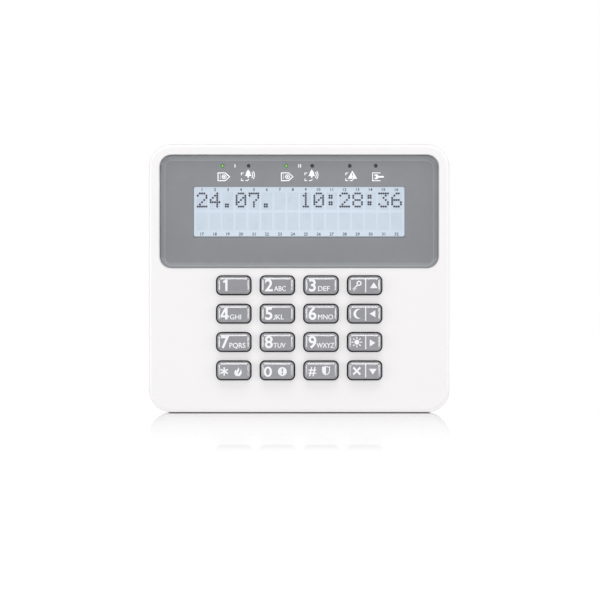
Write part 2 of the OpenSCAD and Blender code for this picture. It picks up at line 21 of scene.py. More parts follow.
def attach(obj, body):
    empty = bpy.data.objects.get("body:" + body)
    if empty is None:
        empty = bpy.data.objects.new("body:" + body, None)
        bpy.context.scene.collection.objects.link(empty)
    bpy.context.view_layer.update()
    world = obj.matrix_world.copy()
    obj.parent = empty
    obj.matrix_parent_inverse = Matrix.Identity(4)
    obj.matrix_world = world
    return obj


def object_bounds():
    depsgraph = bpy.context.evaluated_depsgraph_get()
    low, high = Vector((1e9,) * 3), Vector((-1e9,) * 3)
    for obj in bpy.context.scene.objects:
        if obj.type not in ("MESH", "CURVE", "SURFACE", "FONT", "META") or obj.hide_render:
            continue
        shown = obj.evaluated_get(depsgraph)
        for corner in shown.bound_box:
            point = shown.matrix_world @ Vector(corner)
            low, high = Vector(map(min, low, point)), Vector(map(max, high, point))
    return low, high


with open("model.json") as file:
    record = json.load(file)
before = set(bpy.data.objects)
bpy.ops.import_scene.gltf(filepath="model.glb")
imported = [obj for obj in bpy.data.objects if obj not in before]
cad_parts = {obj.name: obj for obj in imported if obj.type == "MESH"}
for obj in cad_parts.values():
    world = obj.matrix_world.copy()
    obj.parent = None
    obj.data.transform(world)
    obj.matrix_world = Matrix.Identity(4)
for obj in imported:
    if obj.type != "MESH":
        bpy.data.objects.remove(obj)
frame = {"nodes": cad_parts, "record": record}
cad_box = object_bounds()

Point = tuple[float, float]
Colour = tuple[float, float, float]
Term = Union[bpy.types.NodeSocket, float, tuple]

MM = 0.001
WHITE: Colour = (1.0, 1.0, 1.0)
log = logging.getLogger("keypad")


def screen(red: int, green: int, blue: int) -> Colour:
    """Turns a screen colour from 0 to 255 into linear light.

    Args:
        red, green, blue: The three channels.

    Returns:
        The same colour as linear values from 0 to 1.
    """
    def linear(channel: int) -> float:
        """One channel as linear light."""
        share = channel / 255
        return share / 12.92 if share <= 0.04045 else ((share + 0.055) / 1.055) ** 2.4

    return linear(red), linear(green), linear(blue)


def opaque(colour: Colour) -> tuple[float, float, float, float]:
    """The colour with a full alpha."""
    return (*colour, 1.0)


def scaled(colour: Colour, factor: float) -> Colour:
    """The colour made lighter or darker by a factor."""
    return tuple(min(channel * factor, 1.0) for channel in colour)


# ---- Shader graphs ----


class Graph:
    """Adds and links nodes in one node tree."""

    def __init__(self, tree: bpy.types.NodeTree) -> None:
        """Keeps the tree to work on."""
        self.tree = tree

    def add(self, kind: str, inputs: Optional[dict] = None, **settings: object) -> bpy.types.Node:
        """Adds a node.

        Args:
            kind: The node's type.
            inputs: Input names or places, with the socket or value for each.
            **settings: The node's own options.

        Returns:
            The new node.
        """
        node = self.tree.nodes.new(kind)
        for name, value in settings.items():
            setattr(node, name, value)
        for name, value in (inputs or {}).items():
            self.feed(node.inputs[name], value)
        return node

    def feed(self, socket: bpy.types.NodeSocket, value: Term) -> None:
        """Links a socket into the input, or sets its value.

        Args:
            socket: The input.
            value: An output socket, or a plain value.
        """
        if isinstance(value, bpy.types.NodeSocket):
            self.tree.links.new(value, socket)
        else:
            socket.default_value = value

    def math(self, operation: str, first: Term, second: Term = 0.0,
             clamp: bool = False) -> bpy.types.NodeSocket:
        """The result of a Math node.

        Args:
            operation: The node's operation.
            first, second: Its terms.
            clamp: Keeps the result from 0 to 1.

        Returns:
            The result's socket.
        """
        node = self.add("ShaderNodeMath", {0: first, 1: second}, operation=operation, use_clamp=clamp)
        return node.outputs[0]

    def plus(self, first: Term, second: Term, clamp: bool = False) -> bpy.types.NodeSocket:
        """The sum of two values."""
        return self.math("ADD", first, second, clamp)

    def minus(self, first: Term, second: Term) -> bpy.types.NodeSocket:
        """The first value less the second."""
        return self.math("SUBTRACT", first, second)

    def times(self, first: Term, second: Term, clamp: bool = False) -> bpy.types.NodeSocket:
        """The product of two values."""
        return self.math("MULTIPLY", first, second, clamp)

    def size(self, value: Term) -> bpy.types.NodeSocket:
        """The value without its sign."""
        return self.math("ABSOLUTE", value)

    def split(self, vector: Term) -> bpy.types.NodeOutputs:
        """The X, Y and Z of a vector."""
        return self.add("ShaderNodeSeparateXYZ", {0: vector}).outputs

    def length(self, vector: Term) -> bpy.types.NodeSocket:
        """How long a vector is."""
        return self.add("ShaderNodeVectorMath", {0: vector}, operation="LENGTH").outputs["Value"]

    def blend(self, share: Term, low: Term, high: Term) -> bpy.types.NodeSocket:
        """A colour between two.

        Args:
            share: 0 for the first colour and 1 for the second.
            low, high: The two colours.

        Returns:
            The mixed colour's socket.
        """
        node = self.add("ShaderNodeMix", {0: share, 6: low, 7: high}, data_type="RGBA")
        return node.outputs[2]

    def mix(self, share: Term, low: Term, high: Term) -> bpy.types.NodeSocket:
        """A shader between two."""
        return self.add("ShaderNodeMixShader", {0: share, 1: low, 2: high}).outputs[0]

    def ease(self, value: Term, start: float, end: float, low: float = 0.0,
             high: float = 1.0) -> bpy.types.NodeSocket:
        """Maps a value with a smooth step.

        Args:
            value: The value to map.
            start, end: The range it comes from.
            low, high: The range it goes to.

        Returns:
            The mapped value's socket.
        """
        node = self.add("ShaderNodeMapRange", {0: value, 1: start, 2: end, 3: low, 4: high},
                        interpolation_type="SMOOTHSTEP")
        return node.outputs[0]

    def noise(self, vector: Term, scale: Term, detail: float = 2.0,
              roughness: float = 0.5) -> bpy.types.NodeSocket:
        """A noise value.

        Args:
            vector: Where it is read.
            scale: Its scale, per metre on object coordinates.
            detail: How many octaves it has.
            roughness: How strong the finer octaves are.

        Returns:
            The value's socket.
        """
        node = self.add("ShaderNodeTexNoise", {"Vector": vector, "Scale": scale, "Detail": detail,
                                               "Roughness": roughness})
        return node.outputs["Fac"]

    def place(self) -> bpy.types.NodeSocket:
        """The point on the piece, in its own coordinates."""
        return self.add("ShaderNodeTexCoord").outputs["Object"]


class Effect(Enum):
    """The effects that several finishes share, each a node group."""

    GRAIN = "moulded_grain"
    WEAR = "edge_wear"
    DUST = "settled_dust"
    SMUDGE = "finger_smudge"


class Effects:
    """Builds each shared effect once and places it in materials."""

    fine_share: float = 0.6
    pit_share: float = 0.4
    patch_range: tuple[float, float] = (0.25, 0.75)
    worn_turn: tuple[float, float] = (0.005, 0.12)
    worn_patches: tuple[float, ...] = (0.35, 0.65, 0.35, 1.0)
    dusty_slope: tuple[float, float] = (0.35, 0.95)
    dusty_specks: tuple[float, ...] = (0.4, 0.7, 0.3, 1.0)
    marked: tuple[float, float] = (0.45, 0.7)
    streak_scale: float = 9.0

    def __init__(self) -> None:
        """Builds all the groups."""
        self.trees = {
            Effect.GRAIN: self.grain(),
            Effect.WEAR: self.wear(),
            Effect.DUST: self.dust(),
            Effect.SMUDGE: self.smudge(),
        }

    @staticmethod
    def start(effect: Effect, inputs: Sequence[tuple[str, float]], outputs: Sequence[str]) -> tuple:
        """Starts a group with float sockets.

        Args:
            effect: The effect it is for.
            inputs: Each input's name and usual value.
            outputs: The outputs' names.

        Returns:
            The graph, its input sockets by name, and its output node.
        """
        tree = bpy.data.node_groups.new(effect.value, "ShaderNodeTree")
        for name, usual in inputs:
            socket = tree.interface.new_socket(name=name, in_out="INPUT", socket_type="NodeSocketFloat")
            socket.default_value = usual
        for name in outputs:
            tree.interface.new_socket(name=name, in_out="OUTPUT", socket_type="NodeSocketFloat")
        graph = Graph(tree)
        return graph, graph.add("NodeGroupInput").outputs, graph.add("NodeGroupOutput")

    def grain(self) -> bpy.types.NodeTree:
        """The fine texture of a mould, and the slow change of shade across it."""
        graph, given, out = self.start(Effect.GRAIN, [("Scale", 3000.0), ("Patch", 60.0)],
                                       ["Height", "Shade"])
        place = graph.place()
        fine = graph.noise(place, given["Scale"], 3.0, 0.6)
        pits = graph.add("ShaderNodeTexVoronoi", {"Vector": place, "Scale": given["Scale"]},
                         feature="SMOOTH_F1").outputs["Distance"]
        height = graph.plus(graph.times(fine, self.fine_share), graph.times(pits, self.pit_share))
        graph.feed(out.inputs["Height"], height)
        slow = graph.noise(place, given["Patch"], 4.0, 0.55)
        graph.feed(out.inputs["Shade"], graph.ease(slow, *self.patch_range))
        return graph.tree

    def wear(self) -> bpy.types.NodeTree:
        """Edges that handling has polished, as a mask."""
        graph, given, out = self.start(Effect.WEAR, [("Radius", 0.0004), ("Patch", 300.0)], ["Mask"])
        rounded = graph.add("ShaderNodeBevel", {"Radius": given["Radius"]}, samples=4).outputs[0]
        plain = graph.add("ShaderNodeNewGeometry").outputs["Normal"]
        turn = graph.add("ShaderNodeVectorMath", {0: rounded, 1: plain}, operation="DOT_PRODUCT")
        edge = graph.ease(graph.minus(1.0, turn.outputs["Value"]), *self.worn_turn)
        broken = graph.ease(graph.noise(graph.place(), given["Patch"], 3.0), *self.worn_patches)
        graph.feed(out.inputs["Mask"], graph.times(edge, broken))
        return graph.tree

    def dust(self) -> bpy.types.NodeTree:
        """Dust on the faces that look up, as a mask."""
        graph, given, out = self.start(Effect.DUST, [("Amount", 0.3), ("Scale", 900.0)], ["Mask"])
        normal = graph.add("ShaderNodeTexCoord").outputs["Normal"]
        level = graph.ease(graph.split(normal)["Z"], *self.dusty_slope)
        specks = graph.ease(graph.noise(graph.place(), given["Scale"], 4.0, 0.7), *self.dusty_specks)
        mask = graph.times(graph.times(level, specks), given["Amount"], clamp=True)
        graph.feed(out.inputs["Mask"], mask)
        return graph.tree

    def smudge(self) -> bpy.types.NodeTree:
        """The soft marks that fingers leave on a polished face, as a mask."""
        graph, given, out = self.start(Effect.SMUDGE, [("Scale", 70.0)], ["Mask"])
        place = graph.place()
        wide = graph.ease(graph.noise(place, given["Scale"], 1.5), *self.marked)
        streaks = graph.noise(place, graph.times(given["Scale"], self.streak_scale), 5.0, 0.7)
        graph.feed(out.inputs["Mask"], graph.times(wide, streaks, clamp=True))
        return graph.tree

    def use(self, graph: Graph, effect: Effect, **values: float) -> bpy.types.NodeOutputs:
        """Places an effect in a material.

        Args:
            graph: The material's graph.
            effect: The effect.
            **values: Its inputs by name.

        Returns:
            The group node's outputs by name.
        """
        node = graph.add("ShaderNodeGroup", node_tree=self.trees[effect])
        for name, value in values.items():
            node.inputs[name].default_value = value
        return node.outputs


# ---- Finishes ----


@dataclass(frozen=True)
class Finish(ABC):
    """A material's name and its plain values; each kind of finish adds its own nodes.

    The scales are per metre, and depth is the height of the bumps in metres.
    """

    name: str
    colour: Colour
    roughness: float
    grain: float = 3000.0
    patch: float = 60.0
    mottle: float = 0.03
    depth: float = 0.00001
    bump: float = 0.6

    def material(self, effects: Effects) -> bpy.types.Material:
        """Makes the material.

        Args:
            effects: The shared effects.

        Returns:
            The finished material.
        """
        made = bpy.data.materials.new(self.name)
        made.use_nodes = True
        made.node_tree.nodes.clear()
        graph = Graph(made.node_tree)
        shader = graph.add("ShaderNodeBsdfPrincipled", {"Base Color": opaque(self.colour),
                                                        "Roughness": self.roughness})
        self.dress(graph, shader, effects)
        surface = self.surface(graph, shader)
        graph.add("ShaderNodeOutputMaterial", {"Surface": surface})
        made.diffuse_color = opaque(self.colour)
        return made

    @abstractmethod
    def dress(self, graph: Graph, shader: bpy.types.Node, effects: Effects) -> None:
        """Adds the nodes of this kind of finish.

        Args:
            graph: The material's graph.
            shader: The material's shader.
            effects: The shared effects.
        """

    def surface(self, graph: Graph, shader: bpy.types.Node) -> bpy.types.NodeSocket:
        """The shader that the material ends in."""
        return shader.outputs[0]

    def texture(self, graph: Graph, effects: Effects) -> bpy.types.NodeOutputs:
        """Places the shared grain at this finish's own scales."""
        return effects.use(graph, Effect.GRAIN, Scale=self.grain, Patch=self.patch)

    def tint(self, graph: Graph, shader: bpy.types.Node, shade: Term) -> bpy.types.NodeSocket:
        """Varies the base colour by the mottle either way.

        Args:
            graph: The material's graph.
            shader: The material's shader.
            shade: The mask that varies it.

        Returns:
            The varied colour's socket.
        """
        low, high = (opaque(scaled(self.colour, 1 + way * self.mottle)) for way in (-1, 1))
        colour = graph.blend(shade, low, high)
        graph.feed(shader.inputs["Base Color"], colour)
        return colour

    def relief(self, graph: Graph, shader: bpy.types.Node, height: Term) -> None:
        """Bumps the surface.

        Args:
            graph: The material's graph.
            shader: The material's shader.
            height: The height's socket.
        """
        bump = graph.add("ShaderNodeBump", {"Height": height, "Distance": self.depth, "Strength": self.bump})
        graph.feed(shader.inputs["Normal"], bump.outputs[0])


@dataclass(frozen=True)
class WellShade:
    """Painted shade on the walls of the key openings, between the front face and the mat: they are coloured
    dark as the gaps round the keys would be in shadow.
    """

    half_width: float
    low: float
    high: float
    back: float
    front: float
    edge: float = 0.0002

    def mask(self, graph: Graph) -> bpy.types.NodeSocket:
        """1 on the walls of the openings, where the shade is painted.

        Args:
            graph: The material's nodes.

        Returns:
            The mask's socket.
        """
        place = graph.split(graph.place())
        across = graph.ease(graph.size(place["X"]), self.half_width, self.half_width + self.edge, 1.0, 0.0)
        above = graph.ease(place["Z"], self.low - self.edge, self.low)
        below = graph.ease(place["Z"], self.high, self.high + self.edge, 1.0, 0.0)
        behind = graph.ease(place["Y"], -self.front - self.edge, -self.front)
        before = graph.ease(place["Y"], -self.back, -self.back + self.edge, 1.0, 0.0)
        upright = graph.times(above, below)
        deep = graph.times(behind, before)
        return graph.times(across, graph.times(upright, deep))


# Painted shade: a key's skirt is coloured from a dark grey at its top to near black further back, standing in
# for the shadow in the gap round it.
SKIRT_SHADE_TOP: Colour = (0.05, 0.05, 0.052)
SKIRT_SHADE_FOOT: Colour = (0.01, 0.01, 0.01)
SKIRT_SHADE_EDGE, SKIRT_SHADE_DEPTH = 0.0001, 0.0012
# Painted shade: faces that look sideways are coloured towards this grey, a darker edge for how light falls
# off at the sides.
SIDE_PAINTED_SHADE: Colour = (0.3, 0.3, 0.3)
SIDE_TURN = (0.3, 0.75)
# Painted shadow: the near black of the walls of the key openings.
WELL_PAINTED_SHADE: Colour = (0.03, 0.03, 0.032)
DUST_TONE: Colour = (0.62, 0.6, 0.56)
SKIRT_ROUGHENING, SIDE_ROUGHENING, DUST_ROUGHENING, POLISHING = 0.45, 0.12, 0.4, 0.15
POLISHED = 1.35
UNEVEN = 0.03
COAT_ROUGHNESS = 0.06


@dataclass(frozen=True)
class Moulded(Finish):
    """A moulded plastic or rubber: fine grain, a slow change of shade, polished edges and dust."""

    wear: float = 0.0
    dust: float = 0.0
    specular: float = 0.5
    coat: float = 0.0
    smudge: float = 0.0
    # Painted shade: the depth behind which a key's sides are coloured dark, as the gap round it would be in
    # shadow.
    skirt_shade: float = 0.0
    # Painted shade: how far faces that look sideways are coloured towards a darker grey.
    painted_side_shade: float = 0.0
    # Painted shadow on the walls of the key openings.
    well_shade: Optional[WellShade] = None

    def dress(self, graph: Graph, shader: bpy.types.Node, effects: Effects) -> None:
        """Adds the grain, wear, smudges and dust, and the painted shade on key skirts, side walls and the
        walls of key openings.
        """
        detail = self.texture(graph, effects)
        colour = self.tint(graph, shader, detail["Shade"])
        rough = graph.ease(detail["Shade"], 0.0, 1.0, self.roughness - UNEVEN, self.roughness + UNEVEN)
        coat: Term = self.coat
        # Painted shade: behind the skirt depth the key is coloured dark grey to near black for the shadow in
        # the gap round it; it is also rougher there and loses its coat.
        if self.skirt_shade:
            depth = graph.split(graph.place())["Y"]
            down = graph.ease(depth, -self.skirt_shade + SKIRT_SHADE_EDGE, -self.skirt_shade + SKIRT_SHADE_DEPTH)
            shade = graph.blend(down, opaque(SKIRT_SHADE_TOP), opaque(SKIRT_SHADE_FOOT))
            behind = graph.ease(depth, -self.skirt_shade, -self.skirt_shade + SKIRT_SHADE_EDGE)
            colour = graph.blend(behind, colour, shade)
            rough = graph.plus(rough, graph.times(behind, SKIRT_ROUGHENING))
            coat = graph.times(graph.minus(1.0, behind), self.coat)
        # Painted shade: faces that look sideways are coloured towards a darker grey, as light falls off at
        # the sides; they are also a little rougher.
        if self.painted_side_shade:
            normal = graph.add("ShaderNodeTexCoord").outputs["Normal"]
            facing = graph.size(graph.split(normal)["Y"])
            side = graph.ease(facing, *SIDE_TURN, 1.0, 0.0)
            colour = graph.blend(graph.times(side, self.painted_side_shade), colour, opaque(SIDE_PAINTED_SHADE))
            rough = graph.plus(rough, graph.times(side, SIDE_ROUGHENING))
        # Painted shadow: the walls of the key openings are coloured near black.
        if self.well_shade:
            colour = graph.blend(self.well_shade.mask(graph), colour, opaque(WELL_PAINTED_SHADE))
        if self.wear:
            mask = graph.times(effects.use(graph, Effect.WEAR)["Mask"], self.wear)
            colour = graph.blend(mask, colour, opaque(scaled(self.colour, POLISHED)))
            rough = graph.minus(rough, graph.times(mask, POLISHING))
        if self.smudge:
            marks = graph.times(effects.use(graph, Effect.SMUDGE)["Mask"], self.smudge)
            rough = graph.plus(rough, marks)
        if self.dust:
            mask = effects.use(graph, Effect.DUST, Amount=self.dust)["Mask"]
            colour = graph.blend(mask, colour, opaque(DUST_TONE))
            rough = graph.plus(rough, graph.times(mask, DUST_ROUGHENING), clamp=True)
        graph.feed(shader.inputs["Base Color"], colour)
        graph.feed(shader.inputs["Roughness"], rough)
        shader.inputs["Specular IOR Level"].default_value = self.specular
        graph.feed(shader.inputs["Coat Weight"], coat)
        shader.inputs["Coat Roughness"].default_value = COAT_ROUGHNESS
        self.relief(graph, shader, detail["Height"])


@dataclass(frozen=True)
class Metal(Finish):
    """A drawn, turned or plated metal with fine lines along one axis."""

    grain: float = 5000.0
    patch: float = 500.0
    depth: float = 0.000004
    bump: float = 0.5
    lines: tuple[float, float, float] = (400.0, 400.0, 12000.0)
    line_range: tuple[float, float] = (0.3, 0.7)
    tarnish: Colour = (0.3, 0.28, 0.25)
    stain: float = 0.25
    smoother: float = 0.06
    rougher: float = 0.1

    def dress(self, graph: Graph, shader: bpy.types.Node, effects: Effects) -> None:
        """Adds the lines and a little tarnish."""
        shader.inputs["Metallic"].default_value = 1.0
        stretch = graph.add("ShaderNodeMapping", {"Vector": graph.place(), "Scale": self.lines}).outputs[0]
        lines = graph.noise(stretch, 1.0, 3.0, 0.6)
        stained = graph.times(self.texture(graph, effects)["Shade"], self.stain)
        tone = graph.blend(stained, opaque(self.colour), opaque(self.tarnish))
        graph.feed(shader.inputs["Base Color"], tone)
        smooth, dull = self.roughness - self.smoother, self.roughness + self.rougher
        graph.feed(shader.inputs["Roughness"], graph.ease(lines, *self.line_range, smooth, dull))
        self.relief(graph, shader, lines)


@dataclass(frozen=True)
class ClearPlastic(Finish):
    """A clear or tinted plastic that light passes through."""

    grain: float = 900.0
    patch: float = 40.0
    mottle: float = 0.006
    depth: float = 0.000001
    bump: float = 0.1
    index: float = 1.49
    through: float = 1.0
    shadow: float = 0.92
    smudge: float = 0.06
    smudge_scale: float = 60.0

    def dress(self, graph: Graph, shader: bpy.types.Node, effects: Effects) -> None:
        """Adds finger marks and the faint waves of a moulded sheet."""
        shader.inputs["IOR"].default_value = self.index
        shader.inputs["Transmission Weight"].default_value = self.through
        marks = effects.use(graph, Effect.SMUDGE, Scale=self.smudge_scale)["Mask"]
        rough = graph.ease(marks, 0.0, 1.0, self.roughness, self.roughness + self.smudge)
        graph.feed(shader.inputs["Roughness"], rough)
        waves = self.texture(graph, effects)
        self.tint(graph, shader, waves["Shade"])
        self.relief(graph, shader, waves["Height"])

    def surface(self, graph: Graph, shader: bpy.types.Node) -> bpy.types.NodeSocket:
        """Lets light through to what lies behind."""
        tone = tuple(self.shadow * channel for channel in self.colour)
        clear = graph.add("ShaderNodeBsdfTransparent", {"Color": opaque(tone)}).outputs[0]
        path = graph.add("ShaderNodeLightPath").outputs
        return graph.mix(path["Is Shadow Ray"], shader.outputs[0], clear)


@dataclass(frozen=True)
class Backlit(Finish):
    """A lit face of a display: it glows evenly, a little less towards its ends."""

    grain: float = 4000.0
    patch: float = 45.0
    glow: Colour = (0.6, 0.7, 0.8)
    strength: float = 0.8
    half_width: float = 0.05
    fall_share: float = 0.5
    patch_share: float = 0.5
    middle_and_end: tuple[float, float] = (1.02, 0.95)

    def dress(self, graph: Graph, shader: bpy.types.Node, effects: Effects) -> None:
        """Adds the glow."""
        place = graph.place()
        across = graph.size(graph.split(place)["X"])
        fall = graph.ease(across, 0.0, self.half_width, 0.0, 1.0)
        shade = self.texture(graph, effects)["Shade"]
        self.tint(graph, shader, shade)
        patchy = graph.times(shade, self.patch_share)
        share = graph.plus(graph.times(fall, self.fall_share), patchy, clamp=True)
        middle, end = (opaque(scaled(self.glow, factor)) for factor in self.middle_and_end)
        graph.feed(shader.inputs["Emission Color"], graph.blend(share, middle, end))
        shader.inputs["Emission Strength"].default_value = self.strength


@dataclass(frozen=True)
class LampFace(Finish):
    """The round face of a status lamp, with a bright or dark middle and a ring of another colour."""

    grain: float = 6000.0
    patch: float = 2500.0
    middle: Colour = (1.0, 1.0, 1.0)
    ring: Colour = (0.1, 0.5, 0.05)
    strength: float = 1.0
    radius: float = 0.0009
    ripple: float = 0.08
    middle_end: float = 0.15
    ring_start: float = 0.6

    def dress(self, graph: Graph, shader: bpy.types.Node, effects: Effects) -> None:
        """Adds the middle and its ring."""
        away = graph.length(graph.place())
        shade = self.texture(graph, effects)["Shade"]
        reach = graph.plus(away, graph.times(shade, self.radius * self.ripple))
        share = graph.ease(reach, self.radius * self.middle_end, self.radius * self.ring_start)
        colour = graph.blend(share, opaque(self.middle), opaque(self.ring))
        graph.feed(shader.inputs["Emission Color"], colour)
        shader.inputs["Emission Strength"].default_value = self.strength
        shader.inputs["Specular IOR Level"].default_value = 0.0


@dataclass(frozen=True)
class Laminate(Finish):
    """A printed board: solder resist over copper tracks, with tinned pads."""

    grain: float = 2500.0
    patch: float = 80.0
    depth: float = 0.00003
    dull_patches: float = 0.12
    weave: float = 0.2
    track: Colour = (0.05, 0.33, 0.15)
    track_scale: float = 160.0
    track_bends: float = 0.6
    tracks_side_by_side: float = 5.0
    track_rise: tuple[float, float] = (0.5, 0.56)
    track_fall: tuple[float, float] = (0.86, 0.8)
    pad: Colour = (0.75, 0.75, 0.72)
    pad_scale: float = 394.0
    pad_edge: tuple[float, float] = (0.32, 0.28)
    pad_group_scale: float = 90.0
    pad_groups: tuple[float, float] = (0.58, 0.6)
    pad_metal: float = 0.9

    def dress(self, graph: Graph, shader: bpy.types.Node, effects: Effects) -> None:
        """Adds the tracks and pads."""
        place = graph.place()
        bend = graph.add("ShaderNodeTexVoronoi", {"Vector": place, "Scale": self.track_scale,
                                                  "Randomness": self.track_bends},
                         distance="CHEBYCHEV").outputs["Distance"]
        rows = graph.math("FRACT", graph.times(bend, self.tracks_side_by_side))
        tracks = graph.times(graph.ease(rows, *self.track_rise), graph.ease(rows, *self.track_fall))
        dots = graph.add("ShaderNodeTexVoronoi", {"Vector": place, "Scale": self.pad_scale,
                                                  "Randomness": 0.0}).outputs["Distance"]
        chosen = graph.ease(graph.noise(place, self.pad_group_scale, 1.0), *self.pad_groups)
        pads = graph.times(graph.ease(dots, *self.pad_edge), chosen)
        resist = graph.blend(tracks, opaque(self.colour), opaque(self.track))
        graph.feed(shader.inputs["Base Color"], graph.blend(pads, resist, opaque(self.pad)))
        graph.feed(shader.inputs["Metallic"], graph.times(pads, self.pad_metal))
        detail = self.texture(graph, effects)
        dull = self.roughness + self.dull_patches
        graph.feed(shader.inputs["Roughness"], graph.ease(detail["Shade"], 0.0, 1.0, self.roughness, dull))
        self.relief(graph, shader, graph.plus(tracks, graph.times(detail["Height"], self.weave)))


@dataclass(frozen=True)
class Ink(Finish):
    """A screen-printed or painted layer with a slightly uneven edge of shade."""

    grain: float = 6000.0
    patch: float = 200.0
    depth: float = 0.000005
    bump: float = 0.5
    glow: float = 0.0
    specular: float = 0.3
    uneven: float = 0.04

    def dress(self, graph: Graph, shader: bpy.types.Node, effects: Effects) -> None:
        """Adds the print's fine tooth."""
        shader.inputs["Specular IOR Level"].default_value = self.specular
        detail = self.texture(graph, effects)
        colour = self.tint(graph, shader, detail["Shade"])
        smooth, dull = self.roughness - self.uneven, self.roughness + self.uneven
        graph.feed(shader.inputs["Roughness"], graph.ease(detail["Shade"], 0.0, 1.0, smooth, dull))
        if self.glow:
            graph.feed(shader.inputs["Emission Color"], colour)
            shader.inputs["Emission Strength"].default_value = self.glow
        self.relief(graph, shader, detail["Height"])


# The housing's sideways faces carry painted shade, and the walls of its key openings painted shadow.
HOUSING = Moulded("satin_white_housing", (0.9, 0.885, 0.89), 0.42, grain=2600.0, depth=0.000006, patch=14.0,
                  mottle=0.008, wear=0.15, dust=0.12, painted_side_shade=0.35,
                  well_shade=WellShade(0.0395, -0.049, 0.003, 0.0181, 0.0199))
# The keys' sides behind the front are painted dark as the shade in the gaps round them.
KEYS = Moulded("satin_grey_key", screen(150, 150, 155), 0.24, grain=3400.0, depth=0.000006, patch=120.0,
               mottle=0.02, wear=0.1, dust=0.04, coat=0.65, smudge=0.015, skirt_shade=0.02148)
BLACK = Moulded("black_moulding", (0.025, 0.025, 0.027), 0.45, mottle=0.12, wear=0.3)
CHIP = Moulded("epoxy_chip_body", (0.02, 0.02, 0.021), 0.55, grain=5000.0, depth=0.00002, mottle=0.15)
SILICONE = Moulded("milky_silicone", (0.78, 0.78, 0.75), 0.5, grain=1800.0, mottle=0.04, specular=0.3,
                   dust=0.1)
CARBON = Moulded("conductive_carbon", (0.03, 0.03, 0.03), 0.7, grain=6000.0, depth=0.00002, mottle=0.2)
TERMINAL = Moulded("green_terminal_body", (0.06, 0.38, 0.15), 0.4, mottle=0.05, wear=0.3)
PLUNGER = Moulded("ivory_plunger", (0.82, 0.78, 0.66), 0.35, mottle=0.04, wear=0.3)
LAMP_WHITE = Moulded("white_lamp_body", (0.9, 0.87, 0.7), 0.25, grain=6000.0, coat=0.4)
LAMP_GREEN = Moulded("green_lamp_body", (0.2, 0.7, 0.28), 0.25, grain=6000.0, coat=0.4)
GUIDE = Moulded("frosted_light_guide", (0.82, 0.88, 0.93), 0.35, coat=0.3)
TINNED = Metal("tinned_contact", (0.75, 0.75, 0.74), 0.3)
ZINC = Metal("zinc_screw", (0.7, 0.7, 0.66), 0.28, lines=(9000.0, 600.0, 9000.0))
BRASS = Metal("plated_brass", (0.72, 0.56, 0.27), 0.26, tarnish=(0.35, 0.24, 0.1))
CAN = Metal("drawn_aluminium", (0.82, 0.82, 0.84), 0.24, lines=(5000.0, 300.0, 5000.0))
LENS = ClearPlastic("grey_tinted_window", (0.95, 0.955, 0.965), 0.01)
PIPE = ClearPlastic("clear_light_pipe", (0.85, 0.92, 0.86), 0.05, shadow=0.85)
BOARD = Laminate("green_printed_board", (0.02, 0.19, 0.08), 0.3)
SCREEN = Backlit("backlit_display", (0.16, 0.18, 0.2), 0.18, glow=(0.62, 0.705, 0.8), strength=0.86)
FIELD = Ink("grey_window_ink", screen(141, 143, 146), 0.35, mottle=0.02)
FIELD_EDGE = Ink("dark_window_ink", screen(143, 145, 147), 0.35, mottle=0.02)
# Painted highlight: a pale line inside the window's edge, standing in for the glint on the lens's rounded
# edge.
FIELD_PAINTED_GLINT = Ink("painted_window_glint", screen(157, 159, 162), 0.35, mottle=0.02)
# Painted shadow: the dark line round the display opening and round the window's edge.
FIELD_PAINTED_SHADOW = Ink("window_shadow_line", screen(108, 111, 114), 0.4, mottle=0.02)
WHITE_PRINT = Ink("white_print", (0.9, 0.9, 0.92), 0.45)
# Painted glow: the white pictograms give off a little light of their own, to look brighter behind the tinted
# lens.
WINDOW_PRINT_PAINTED_GLOW = Ink("white_window_print_painted_glow", (0.92, 0.92, 0.93), 0.45, glow=0.25)
DOT_ON = Ink("dark_display_dot", (0.003, 0.005, 0.03), 0.6, specular=0.05)
DOT_OFF = Ink("faint_display_dot", (0.15, 0.169, 0.193), 0.3, glow=3.0)
SMALL_PRINT = Ink("display_number_print", (0.015, 0.02, 0.04), 0.5, specular=0.1)
LAMP_LIT = LampFace("lit_green_lamp", (0.02, 0.12, 0.01), 0.3, middle=(0.8, 1.0, 0.4),
                    ring=(0.02, 0.17, 0.008))
# Painted highlight: the unlit lamp's middle glows faintly, standing in for a glint on its dome.
LAMP_DARK_PAINTED_GLINT = LampFace("dark_lamp_painted_glint", (0.008, 0.008, 0.009), 0.5, middle=(0.03, 0.03, 0.03),
                     ring=(0.0, 0.0, 0.0))

SLOT_FINISHES: dict[str, Finish] = {
    "housing_white": HOUSING, "lens_smoke": LENS, "mask_print": FIELD_EDGE, "display_glass": SCREEN,
    "light_guide": GUIDE, "black_plastic": BLACK, "contact_metal": TINNED, "status_green": LAMP_GREEN,
    "pipe_clear": PIPE, "board_green": BOARD, "screw_steel": ZINC, "silicone": SILICONE,
    "lamp_white": LAMP_WHITE, "terminal_green": TERMINAL, "clamp_brass": BRASS, "chip_black": CHIP,
    "plunger_ivory": PLUNGER, "can_aluminium": CAN, "key_grey": KEYS, "carbon": CARBON,
}


class Paintshop:
    """Makes each finish's material once."""

    def __init__(self) -> None:
        """Starts with the shared effects and no material."""
        self.effects = Effects()
        self.made: dict[str, bpy.types.Material] = {}

    def get(self, finish: Finish) -> bpy.types.Material:
        """The finish's material.

        Args:
            finish: The finish.

        Returns:
            Its material, made on first use.
        """
        if finish.name not in self.made:
            self.made[finish.name] = finish.material(self.effects)
        return self.made[finish.name]

    def dress_node(self, node: str, finish: Finish) -> None:
        """Gives a node of the frame a finish.

        Args:
            node: The node's name.
            finish: The finish for its material slot.
        """
        thing = frame["nodes"][node]
        if not thing.material_slots:
            thing.data.materials.append(None)
        for slot in thing.material_slots:
            slot.material = self.get(finish)


